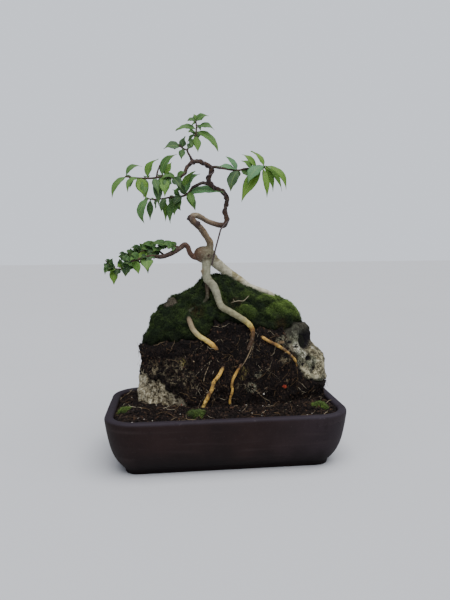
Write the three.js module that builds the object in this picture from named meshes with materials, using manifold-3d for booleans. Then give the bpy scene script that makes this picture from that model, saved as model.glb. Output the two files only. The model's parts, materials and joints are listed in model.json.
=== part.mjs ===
// Water jasmine bonsai grown over a mossy rock, in a rounded rectangular tray pot.
// Millimetres, +Z up. The origin is the centre of the pot's foot on the surface it stands on,
// +X runs along the pot to the viewer's right and +Y points away from the viewer.

import * as THREE from 'three';
import Module from 'manifold-3d';

const wasm = await Module();
wasm.setup();

// Driving dimensions
const GAP = 0.3;
const COVER_GAP = 0.6;
const POT_LENGTH = 240;
const POT_DEPTH = 132;
const POT_HEIGHT = 56;
const POT_CORNER = 32;
const POT_WALL = 9;
const POT_FLOOR = 9;
const CAVITY_KNEE = 31;
const CAVITY_SLOPE = 0.42;
const FOOT_RECESS = 3;
const FOOT_WIDTH = 9;
const DRAIN_RADIUS = 6;
const DRAIN_OFFSET = 45;
const SOIL_LEVEL = 52.5;
const SOIL_MOUND = 59.5;
const MOSS_THICKNESS = 5;
const PEAT_THICKNESS = 4.5;
const MOUND_SEGMENTS = 26;
const MOUND_POWER = 2.4;
const LUMP_RADIUS = 9.3;
const LUMP_SIDES = 12;
const LUMP_ROWS = 8;
const WIRE_RADIUS = 0.65;
const WIRE_TURN = 15;
const WIRE_STEPS = 8;
const WIRE_PHASE = 1.96;
const BLADE_THICKNESS = 1.0;
const PETIOLE_RADIUS = 0.55;
const PAIR_ARCH = 0.12;

// Pot wall from foot to rim: height as a share of the pot's, and how far the wall stands in
const POT_PROFILE = [
  [0, 19.5], [0.02, 18.8], [0.08, 17.6], [0.13, 15.1], [0.2, 11.8], [0.28, 9], [0.37, 6.6], [0.49, 4.4],
  [0.66, 2.3], [0.85, 0.6], [0.955, 0], [0.985, 0.5], [1, 1.6],
];

// Mound of rock, peat and moss: height, left, right, front and back of each level section
const MOUND = [
  [16, -84, 104, -30, 46], [52, -90, 108, -34, 50], [64, -90, 108, -33.5, 50],
  [76, -89, 113.5, -33, 50], [90, -87.5, 111, -32.5, 49], [103, -85.5, 108, -31.5, 49],
  [115, -88.5, 99, -30, 48], [127, -82.5, 95, -27.5, 47], [137, -77.5, 87, -25, 45],
  [147, -72.5, 81.5, -21.5, 42], [156, -66, 74, -18, 38], [163, -58, 63.5, -14.5, 34],
  [169, -46, 45, -11.5, 30], [176, -33, 27, -8, 25], [183, -25, 17, -4, 19], [188, -20, 8, 0, 14],
  [190.5, -10, -7, 6, 8],
];
const MOUND_TOP = [-9, 7, 190];

// Cushions of moss on the soil: x, y, radius and height
const SOIL_TUFTS = {
  soil_moss_left: [-99, -22, 9, 8],
  soil_moss_front: [-31, -43, 10, 9],
  soil_moss_right: [92, -37, 9, 10.5],
};
const TUFT_SUNK = 2.5;
const TUFT_SIDES = 11;
const TUFT_FLATNESS = 0.62;

// Lower edge of the moss along the front, x and height
const MOSS_EDGE = [
  [-95, 119], [-69, 122], [-49, 126], [-33, 127], [-20, 131], [-10, 142], [2, 145],
  [28, 138.5], [46, 134.5], [62, 132.5], [80, 140], [95, 141],
];
// Right-hand limit of the peat on the front, height and x
const PEAT_RIGHT = [
  [50, 120], [74, 112], [76.5, 98], [82, 85], [93, 75], [104, 71], [117, 62], [131, 60],
];
// Top edge of the bare rock at the lower left, x and height
const BARE_LEFT = [[-95, 95], [-87, 93], [-60, 80], [-40, 62], [-30, 40]];

function seeded(seed) {
  let state = seed;
  return () => {
    state = (state + 0x6d2b79f5) | 0;
    let t = Math.imul(state ^ (state >>> 15), 1 | state);
    t = (t + Math.imul(t ^ (t >>> 7), 61 | t)) ^ t;
    return ((t ^ (t >>> 14)) >>> 0) / 4294967296;
  };
}

const point = (x, y, z) => new THREE.Vector3(x, y, z);
const UP = point(0, 0, 1);

// Linear interpolation in rows of [key, value, ...]
function lookUp(rows, key, column = 1) {
  if (key <= rows[0][0]) return rows[0][column];
  for (let i = 1; i < rows.length; i++) {
    if (key <= rows[i][0]) {
      const share = (key - rows[i - 1][0]) / (rows[i][0] - rows[i - 1][0]);
      return rows[i - 1][column] + share * (rows[i][column] - rows[i - 1][column]);
    }
  }
  return rows[rows.length - 1][column];
}

const rise = (from, to, value) => THREE.MathUtils.smoothstep(value, from, to);
const fall = (from, to, value) => 1 - rise(from, to, value);

// Joining and cutting of closed solids

function toSolid(vertices, triangles) {
  const vertProperties = new Float32Array(vertices.length * 3);
  vertices.forEach((v, i) => v.toArray(vertProperties, i * 3));
  const mesh = new wasm.Mesh({ numProp: 3, vertProperties, triVerts: new Uint32Array(triangles) });
  return new wasm.Manifold(mesh);
}

const join = (solids) => solids.reduce((all, one) => all.add(one));
const cut = (solid, cutters) => cutters.reduce((rest, one) => rest.subtract(one), solid);

// The largest single body, so that loose scraps and sealed pockets are left out
function mainBody(solid) {
  const bodies = solid.decompose();
  return bodies.reduce((best, one) => (one.volume() > best.volume() ? one : best));
}

function toMesh(name, solid, colour, roughness) {
  const { vertProperties, triVerts, numProp } = mainBody(solid).getMesh();
  const geometry = new THREE.BufferGeometry();
  const positions = new Float32Array((vertProperties.length / numProp) * 3);
  for (let i = 0; i < positions.length / 3; i++) {
    positions.set(vertProperties.subarray(i * numProp, i * numProp + 3), i * 3);
  }
  geometry.setAttribute('position', new THREE.BufferAttribute(positions, 3));
  geometry.setIndex(new THREE.BufferAttribute(new Uint32Array(triVerts), 1));
  geometry.computeVertexNormals();
  const material = new THREE.MeshStandardMaterial({ color: colour, roughness, metalness: 0 });
  const mesh = new THREE.Mesh(geometry, material);
  mesh.name = name;
  return mesh;
}

// Closed skin through rings of equal length, each counterclockwise seen from the far end
function loft(rings, first, last) {
  const count = rings[0].length;
  const vertices = rings.flat();
  const triangles = [];
  for (let r = 0; r + 1 < rings.length; r++) {
    for (let i = 0; i < count; i++) {
      const a = r * count + i;
      const b = r * count + ((i + 1) % count);
      triangles.push(a, b, b + count, a, b + count, a + count);
    }
  }
  const start = vertices.push(first) - 1;
  const end = vertices.push(last) - 1;
  const top = (rings.length - 1) * count;
  for (let i = 0; i < count; i++) {
    triangles.push(start, (i + 1) % count, i);
    triangles.push(end, top + i, top + ((i + 1) % count));
  }
  return toSolid(vertices, triangles);
}

function middle(ring) {
  return ring.reduce((sum, v) => sum.add(v), point(0, 0, 0)).divideScalar(ring.length);
}

// Round tube through the given points, with a radius at each, closed by flat ends
function tube(points, radii, sides, grow = 0) {
  const path = points.map((p) => p.clone());
  const count = path.length;
  const headStart = path[0].clone().sub(path[1]).normalize();
  path[0].addScaledVector(headStart, grow);
  const headEnd = path[count - 1].clone().sub(path[count - 2]).normalize();
  path[count - 1].addScaledVector(headEnd, grow);
  let side = null;
  const rings = path.map((centre, i) => {
    const before = path[Math.max(i - 1, 0)];
    const after = path[Math.min(i + 1, count - 1)];
    const along = after.clone().sub(before).normalize();
    const seed = side ?? (Math.abs(along.z) > 0.9 ? point(1, 0, 0) : UP.clone());
    side = seed.clone().addScaledVector(along, -seed.dot(along)).normalize();
    const other = along.clone().cross(side);
    return Array.from({ length: sides }, (_, k) => {
      const turn = (k / sides) * 2 * Math.PI;
      return centre.clone()
        .addScaledVector(side, (radii[i] + grow) * Math.cos(turn))
        .addScaledVector(other, (radii[i] + grow) * Math.sin(turn));
    });
  });
  return loft(rings, path[0].clone(), path[count - 1].clone());
}

// Smooth route: hand-chosen points of [x, y, z, radius], resampled at an even spacing
function route(rows, spacing) {
  const curve = new THREE.CatmullRomCurve3(rows.map((r) => point(r[0], r[1], r[2])), false, 'centripetal');
  const total = curve.getLength();
  const count = Math.max(2, Math.round(total / spacing));
  const points = [];
  const radii = [];
  for (let i = 0; i <= count; i++) {
    const t = curve.getUtoTmapping(i / count);
    points.push(curve.getPoint(t));
    const place = t * (rows.length - 1);
    const low = Math.min(Math.floor(place), rows.length - 2);
    radii.push(THREE.MathUtils.lerp(rows[low][3], rows[low + 1][3], place - low));
  }
  return { points, radii };
}

function branch(rows, spacing, sides, grow) {
  const { points, radii } = route(rows, spacing);
  return tube(points, radii, sides, grow);
}

// Pot

function roundedRing(inset, height, arcSteps = 6) {
  const halfX = POT_LENGTH / 2 - inset;
  const halfY = POT_DEPTH / 2 - inset;
  const radius = Math.max(POT_CORNER - inset, 8);
  const corners = [[1, 1, 0], [-1, 1, 1], [-1, -1, 2], [1, -1, 3]];
  return corners.flatMap(([sx, sy, quarter]) =>
    Array.from({ length: arcSteps }, (_, k) => {
      const turn = (quarter + k / (arcSteps - 1)) * (Math.PI / 2);
      const x = sx * (halfX - radius) + radius * Math.cos(turn);
      const y = sy * (halfY - radius) + radius * Math.sin(turn);
      return point(x, y, height);
    }));
}

function stack(levels, arcSteps) {
  const rings = levels.map(([height, inset]) => roundedRing(inset, height, arcSteps));
  return loft(rings, middle(rings[0]), middle(rings[rings.length - 1]));
}

function column(x, y, from, to, radius) {
  return tube([point(x, y, from), point(x, y, to)], [radius, radius], 16);
}

// The cavity narrows below its knee, as the outside does
function cavityInset(height) {
  return POT_WALL + Math.max(0, (CAVITY_KNEE - height) * CAVITY_SLOPE);
}

function potSolid() {
  const outside = stack(POT_PROFILE.map(([share, inset]) => [share * POT_HEIGHT, inset]));
  const cavityLevels = [POT_FLOOR, CAVITY_KNEE, POT_HEIGHT - 2];
  const levels = cavityLevels.map((height) => [height, cavityInset(height)]);
  levels.push([POT_HEIGHT - 0.6, POT_WALL - 0.8], [POT_HEIGHT + 1, POT_WALL - 2]);
  const cavity = stack(levels);
  const footInset = POT_PROFILE[0][1] + FOOT_WIDTH;
  const recess = stack([[-1, footInset], [FOOT_RECESS, footInset + 1]]);
  const drains = [-1, 1].map((side) => column(side * DRAIN_OFFSET, 0, -1, POT_FLOOR + 1, DRAIN_RADIUS));
  return cut(outside, [cavity, recess, ...drains]);
}

// Mound

function moundSection(height) {
  const [left, right, front, back] = [1, 2, 3, 4].map((column) => lookUp(MOUND, height, column));
  return {
    midX: (left + right) / 2, midY: (front + back) / 2, halfX: (right - left) / 2, halfY: (back - front) / 2,
  };
}

function moundPoint(turn, height) {
  const { midX, midY, halfX, halfY } = moundSection(height);
  const bow = (value) => Math.sign(value) * Math.abs(value) ** (2 / MOUND_POWER);
  return point(midX + halfX * bow(Math.cos(turn)), midY + halfY * bow(Math.sin(turn)), height);
}

// Outward direction of the mound's surface
function moundNormal(turn, height) {
  const around = moundPoint(turn + 0.02, height).sub(moundPoint(turn - 0.02, height));
  const upward = moundPoint(turn, height + 2).sub(moundPoint(turn, height - 2));
  return around.cross(upward).normalize();
}

// A point on the mound's front face, standing out from it by the given distance
function onFront(x, height, out) {
  const { midX, midY, halfX, halfY } = moundSection(height);
  const share = Math.min(Math.abs((x - midX) / halfX), 0.999);
  const y = midY - halfY * (1 - share ** MOUND_POWER) ** (1 / MOUND_POWER);
  const slope = (lookUp(MOUND, height + 5, 3) - lookUp(MOUND, height - 5, 3)) / 10;
  const outward = point(0, -1, slope).normalize();
  return point(x, y, height).addScaledVector(outward, out);
}

// 1 where moss covers the mound, falling to 0 past its lower edge
function mossCover({ x, y, z }) {
  const onBack = rise(5, 25, y);
  const backEdge = 116 + 6 * Math.sin(x * 0.07 + 1);
  const edge = THREE.MathUtils.lerp(lookUp(MOSS_EDGE, x), backEdge, onBack);
  return rise(edge - 3, edge + 3, z);
}

// 1 where dark peat covers the rock
function peatCover(place) {
  const { x, y, z } = place;
  if (y > 8) {
    return rise(-62, -50, x) * fall(50, 62, x) * rise(78, 88, z) * (1 - mossCover(place));
  }
  const fromRight = fall(lookUp(PEAT_RIGHT, z) - 4, lookUp(PEAT_RIGHT, z) + 4, x);
  const overBare = rise(lookUp(BARE_LEFT, x) - 3, lookUp(BARE_LEFT, x) + 3, z);
  return Math.min(fromRight, overBare) * (1 - mossCover(place));
}

// Uneven surface of the rock, its pits and the hollow at the right
function rockRelief({ x, y, z }) {
  const waves = Math.sin(x * 0.11 + z * 0.07) + Math.sin(z * 0.19 - y * 0.13 + 2)
    + Math.sin(x * 0.23 + y * 0.21);
  const hollow = Math.exp(-(((x - 87) / 7) ** 2 + ((z - 121) / 8.5) ** 2)) * fall(-2, 10, y);
  return 0.9 * waves - 1.2 - 9 * hollow;
}

const mossRelief = ({ x, y, z }) =>
  0.9 * Math.sin(x * 0.16 + 0.5) * Math.sin(z * 0.17 + y * 0.12)
  + 0.6 * Math.sin(x * 0.31 + y * 0.27 + z * 0.2);
const peatRelief = ({ x, z }) => 0.6 * Math.sin(x * 0.27 + z * 0.09) + 0.5 * Math.sin(z * 0.33 - x * 0.12);

const rockOffset = (p) =>
  rockRelief(p) * (1 - 0.6 * Math.max(mossCover(p), peatCover(p)))
  - MOSS_THICKNESS * mossCover(p) - PEAT_THICKNESS * peatCover(p);
const BURIED = -9;
const mossOffset = (p) => THREE.MathUtils.lerp(BURIED, mossRelief(p), mossCover(p));
const peatOffset = (p) => THREE.MathUtils.lerp(BURIED, peatRelief(p), peatCover(p));

function moundSolid(offset, grow = 0) {
  const rings = MOUND.slice(0, -1).map(([height]) =>
    Array.from({ length: MOUND_SEGMENTS }, (_, i) => {
      const turn = (i / MOUND_SEGMENTS) * 2 * Math.PI;
      const base = moundPoint(turn, height);
      return base.clone().addScaledVector(moundNormal(turn, height), offset(base) + grow);
    }));
  const top = point(...MOUND_TOP);
  top.z += offset(top) + 2 * grow;
  return loft(rings, middle(rings[0]), top);
}

function soilSolid() {
  const levels = [POT_FLOOR + GAP, CAVITY_KNEE, SOIL_LEVEL - 1]
    .map((height) => [height, cavityInset(height) + GAP]);
  levels.push([SOIL_LEVEL, POT_WALL + 3], [SOIL_LEVEL + 2, POT_WALL + 10], [SOIL_MOUND - 1, POT_WALL + 19]);
  levels.push([SOIL_MOUND, POT_WALL + 30]);
  return stack(levels);
}

// Low cushion of moss standing a little way down in the soil
function mossTuft([x, y, radius, height], grow = 0) {
  const levels = [[0, 0.9], [0.4, 1], [0.8, 0.7]];
  const foot = SOIL_LEVEL - TUFT_SUNK;
  const rings = levels.map(([share, width]) =>
    Array.from({ length: TUFT_SIDES }, (_, i) => {
      const turn = (i / TUFT_SIDES) * 2 * Math.PI;
      const reach = radius * width * (1 + 0.12 * Math.sin(3 * turn + x)) + grow;
      const level = foot + height * share + (share - 0.4) * grow * 2.5;
      return point(x + reach * Math.cos(turn), y + TUFT_FLATNESS * reach * Math.sin(turn), level);
    }));
  return loft(rings, middle(rings[0]), point(x, y, foot + height + grow * 1.5));
}

// Wood: trunk, roots and bare branches, grown as one piece

const LUMP = point(-18.9, 0, 210.5);

// Rows are [x, height, radius, how far the root's centre stands out of the mound]
const surfaceRows = (rows) =>
  rows.map(([x, height, radius, out]) => [...onFront(x, height, out).toArray(), radius]);

const FRONT_ROOT = [
  [-18.9, 0, 210, 4.6], [-17.1, -3, 201.1, 4.2], [-17.6, -6, 194.9, 3.9], [-17.2, -8, 186.6, 4],
  [-14.6, -8.4, 181.6, 4],
  ...surfaceRows([
    [-11.1, 176.7, 3.9, 3], [-7.6, 168.8, 3.3, 2.4], [-6.4, 164, 3.1, 2.2], [-3.6, 156.9, 2.8, 2],
    [3.9, 152.4, 2.7, 2], [11.4, 148, 2.6, 2], [20.1, 142.2, 2.6, 2], [25, 137.3, 2.5, 1.8],
    [26.8, 132.4, 2.3, 1.5], [25.6, 125.2, 2.2, 1.2], [23.2, 119.1, 2, 0], [18.6, 108.9, 1.6, -2.6],
    [12.6, 98.5, 1.5, 0.6], [7.4, 89.9, 1.6, 0.9], [4.4, 81.1, 1.6, 0.9], [5.2, 75.9, 1.5, 0.8],
    [2.8, 67.1, 1.4, 0.5], [2.2, 57.2, 1.3, -2],
  ]),
];
const LEFT_ROOT = [
  [-15, -8, 183, 2.4],
  ...surfaceRows([
    [-17, 178.5, 2.1, 1.4], [-16.9, 172.4, 1.8, 0.8], [-17.5, 166.2, 1.7, -1],
    [-24.6, 159.6, 1.8, -4.5], [-33.8, 155.5, 2, -4], [-36.5, 149.6, 2.3, 0], [-35.4, 142.7, 2.4, 1.4],
    [-32.2, 135.1, 2.4, 1.4], [-26.4, 129.2, 2.3, 1.4], [-19.7, 125.1, 2.2, 1.3],
    [-13.4, 120.2, 2.2, 1.1], [-8.4, 114.7, 1.9, -1.4], [-3.5, 105.5, 1.6, -2.8], [-3.9, 99.4, 1.6, 0],
    [-7.9, 91, 1.8, 0.9], [-13.1, 84.5, 1.7, 0.9], [-15.3, 77.2, 1.8, 1], [-19.7, 68.7, 1.9, 1.2],
    [-23.9, 59.4, 1.8, 0.6], [-25.3, 53.1, 1.5, -1],
  ]),
];
const RIGHT_ROOT = surfaceRows([
  [24.5, 138, 1.8, 1], [31, 131, 1.6, -2.4], [38.6, 125.2, 1.5, 0.8], [44.1, 121.9, 1.6, 1],
  [49.8, 119, 1.6, 1], [55.4, 115.6, 1.5, 1], [60.5, 112.2, 1.5, 0.9], [65.8, 107.2, 1.4, 0.7],
  [70.4, 101.7, 1.3, 0.3], [72.1, 94.9, 1.1, -2],
]);
const BACK_ROOT = [
  [-16, 0, 208, 4.6], [-9.9, 2, 203.3, 4.7], [-4.6, 3, 199.1, 4.6], [1.7, 4, 193.8, 4.2],
  [8, 5, 189.5, 3.8], [12.9, 6, 186.3, 3.5], [18.7, 6, 182.7, 3], [28.2, 6, 175.4, 2.8],
  [39.9, 6, 171.3, 2.4], [47.4, 6, 168.8, 2.1], [52.6, 5, 165.7, 1.8], [56, 5, 160, 1.5],
];
const TRUNK = [
  [-17.1, 0, 211, 4.2], [-13.4, 0, 216, 3.4], [-13.1, -1, 221.6, 3], [-17.3, -3, 228.6, 2.9],
  [-22.1, -5, 235.4, 2.9], [-27, -6, 240.4, 3.1], [-31.2, -6, 244.6, 3], [-30.4, -5, 248.4, 2.7],
  [-25.9, -3, 248.9, 2.4], [-20.7, -1, 246.6, 2.3], [-15.9, 1, 243.8, 2.3], [-8.6, 3, 241.1, 2.3],
  [-2.5, 4, 239.6, 2.4], [2.6, 5, 239.8, 2.5], [5, 6, 244.5, 2.1], [3.7, 7, 253.7, 1.8],
  [4.4, 8, 259.7, 1.7], [6, 8, 266, 1.9], [4.2, 7, 270.6, 1.9], [-1.2, 6, 275, 1.8],
  [-8.5, 5, 278.6, 1.8], [-12.9, 3, 282.2, 2], [-13.2, 2, 286.5, 1.8], [-11.3, 1, 291.4, 1.8],
  [-11, 0, 296.2, 1.9], [-14.5, 0, 299.6, 1.8], [-19.8, 0, 301.4, 1.7], [-24.9, 0, 303, 1.7],
  [-29.4, -1, 302.2, 1.7], [-33, -2, 299.3, 1.6], [-36, -3, 295.8, 1.5], [-37.4, -4, 291, 1.4],
  [-41.2, -5, 287.5, 1.3], [-46.5, -6, 285.2, 1.3],
];
const LOW_BRANCH = [
  [-20, -1, 208, 2.6], [-26.9, -1.5, 206.6, 2.5], [-31, -2.5, 208, 2.4], [-34, -3.4, 212, 2.4],
  [-36, -4.4, 217.6, 2.4], [-38.6, -5, 219.8, 2.3], [-44.2, -6, 215.8, 2.2], [-54.7, -8, 210.1, 2.1],
  [-63.2, -9, 207.8, 1.9], [-71.7, -10, 209, 1.7],
];
const SECOND_BRANCH = [
  [-12.5, 3.2, 281, 1.6], [-15.4, 3.4, 281.4, 1.5], [-19, 4.2, 282.4, 1.4], [-24.7, 6, 280.4, 1.3],
  [-30.6, 8, 277.6, 1.2],
];
const RIGHT_BRANCH = [[-11.5, 0, 296, 1.4], [-8, -1.5, 297.3, 1.3], [-1, -3.6, 296, 1.2]];
const APEX_BRANCH = [[-29, -1, 302, 1.4], [-30.6, -0.5, 304.6, 1.3], [-32, 0, 308, 1.2]];
const STUBS = [
  [[-31, -6, 244.6, 2.6], [-35.6, -6.6, 247, 2.4]],
  [[-26, -5.6, 239.4, 2.2], [-24.4, -8.6, 242, 1.7]],
  [[11.6, 5.6, 186.6, 2.6], [13, 3.6, 190, 2.2]],
  [[-14, 0, 211, 4.4], [-8.6, 0.6, 208.6, 4]],
  [[-9.6, 0.4, 206, 2.6], [-6.4, -2, 207.6, 1.9]],
  [[-18, -5.6, 193.4, 2.8], [-22.8, -6.4, 191.8, 1.7]],
];

function woodSolid(grow = 0) {
  const lump = new THREE.SphereGeometry(LUMP_RADIUS + grow, LUMP_SIDES, LUMP_ROWS);
  const rings = [];
  const corner = lump.attributes.position;
  for (let row = 1; row < LUMP_ROWS; row++) {
    rings.push(Array.from({ length: LUMP_SIDES }, (_, i) => {
      const v = new THREE.Vector3().fromBufferAttribute(corner, row * (LUMP_SIDES + 1) + i);
      return point(LUMP.x + v.x * 1.02, LUMP.y + v.z * 0.95, LUMP.z + v.y * 1.05);
    }).reverse());
  }
  rings.reverse();
  const reach = (LUMP_RADIUS + grow) * 1.05;
  const ball = loft(rings, LUMP.clone().addScaledVector(UP, -reach), LUMP.clone().addScaledVector(UP, reach));
  const parts = [
    ball,
    branch(FRONT_ROOT, 7.5, 7, grow), branch(LEFT_ROOT, 8, 6, grow), branch(RIGHT_ROOT, 8, 6, grow),
    branch(BACK_ROOT, 8, 7, grow), branch(TRUNK, 5.5, 6, grow), branch(LOW_BRANCH, 6.5, 6, grow),
    branch(SECOND_BRANCH, 5, 5, grow), branch(RIGHT_BRANCH, 5, 5, grow), branch(APEX_BRANCH, 4, 5, grow),
    ...STUBS.map((rows) => branch(rows, 6, 5, grow)),
  ];
  return join(parts);
}

// Training wire: a stay from the root crotch to the elbow, then turns round the dark upper trunk

const WIRE_STAY = [
  [-11.9, -7.5, 199], [-10.2, -7.8, 206.5], [-7.8, -7, 215.6], [-5.1, -5, 224.7], [-1.3, -2.2, 237.4],
];

function wireSolid(grow = 0) {
  const { points, radii } = route(TRUNK.slice(14, 30), 0.5);
  const spacing = 0.5;
  const path = WIRE_STAY.map((row) => point(...row));
  const stepLength = WIRE_TURN / WIRE_STEPS;
  const steps = Math.floor(((points.length - 1) * spacing) / stepLength);
  let side = null;
  for (let s = 0; s <= steps; s++) {
    const place = Math.min((s * stepLength) / spacing, points.length - 2);
    const low = Math.floor(place);
    const centre = points[low].clone().lerp(points[low + 1], place - low);
    const ahead = points[Math.min(low + 4, points.length - 1)];
    const along = ahead.clone().sub(points[Math.max(low - 4, 0)]).normalize();
    const seed = side ?? point(-1, -0.6, 0);
    side = seed.clone().addScaledVector(along, -seed.dot(along)).normalize();
    const other = along.clone().cross(side);
    const turn = WIRE_PHASE + (s / WIRE_STEPS) * 2 * Math.PI;
    const reach = (radii[low] + WIRE_RADIUS + GAP) / Math.cos(Math.PI / WIRE_STEPS) + 0.2;
    const outward = side.clone().multiplyScalar(Math.cos(turn)).addScaledVector(other, Math.sin(turn));
    path.push(centre.addScaledVector(outward, reach));
  }
  return tube(path, path.map(() => WIRE_RADIUS), 5, grow);
}

// Leafy sprays

// Share of the length, and share of the full half width there
const LARGE_BLADE = [[0.12, 0.2], [0.34, 0.92], [0.6, 0.96], [0.84, 0.44]];
const SMALL_BLADE = [[0.12, 0.3], [0.42, 1], [0.76, 0.66]];

// One pointed, waved blade from its base to its tip, folded along its rib and arched up and over
function blade(base, reach, width, arch, stations, chance, grow) {
  const length = reach.length();
  const chord = reach.clone().normalize();
  const upward = UP.clone().addScaledVector(chord, -chord.z).normalize();
  const facing = point((chance() - 0.5) * 0.8, -0.75, 0.65 + (chance() - 0.5) * 0.5).addScaledVector(upward, 0.5);
  const wave = chance() * 2 * Math.PI;
  const thick = BLADE_THICKNESS / 2;
  const ribAt = (share) => base.clone().addScaledVector(chord, length * share)
    .addScaledVector(upward, arch * length * 4 * share * (1 - share));
  const section = (share, half) => {
    const rib = ribAt(share);
    const along = chord.clone().addScaledVector(upward, arch * 4 * (1 - 2 * share)).normalize();
    const normal = facing.clone().addScaledVector(along, -facing.dot(along)).normalize();
    const side = along.clone().cross(normal);
    const lift = thick + half * 0.1;
    const ripple = 0.07 * width * Math.sin(share * 9 + wave);
    const edge = (turn, raise) => rib.clone()
      .addScaledVector(side, turn * (half + grow)).addScaledVector(normal, lift - turn * ripple + raise);
    const under = rib.clone().addScaledVector(normal, -thick - grow);
    if (grow === 0) return [edge(-1, 0), edge(1, 0), under];
    return [edge(-1, grow), edge(1, grow), edge(1, -grow), under, edge(-1, -grow)];
  };
  const rings = [section(0, PETIOLE_RADIUS)];
  stations.forEach(([share, half]) => rings.push(section(share, Math.max(half * width / 2, PETIOLE_RADIUS))));
  return loft(rings, ribAt(0).addScaledVector(chord, -grow), ribAt(1).addScaledVector(chord, grow));
}

// Place on a twig at a share of its rows
function twigPoint(rows, share) {
  const place = share * (rows.length - 1);
  const low = Math.min(Math.floor(place), rows.length - 2);
  const from = point(rows[low][0], rows[low][1], rows[low][2]);
  return from.lerp(point(rows[low + 1][0], rows[low + 1][1], rows[low + 1][2]), place - low);
}

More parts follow.
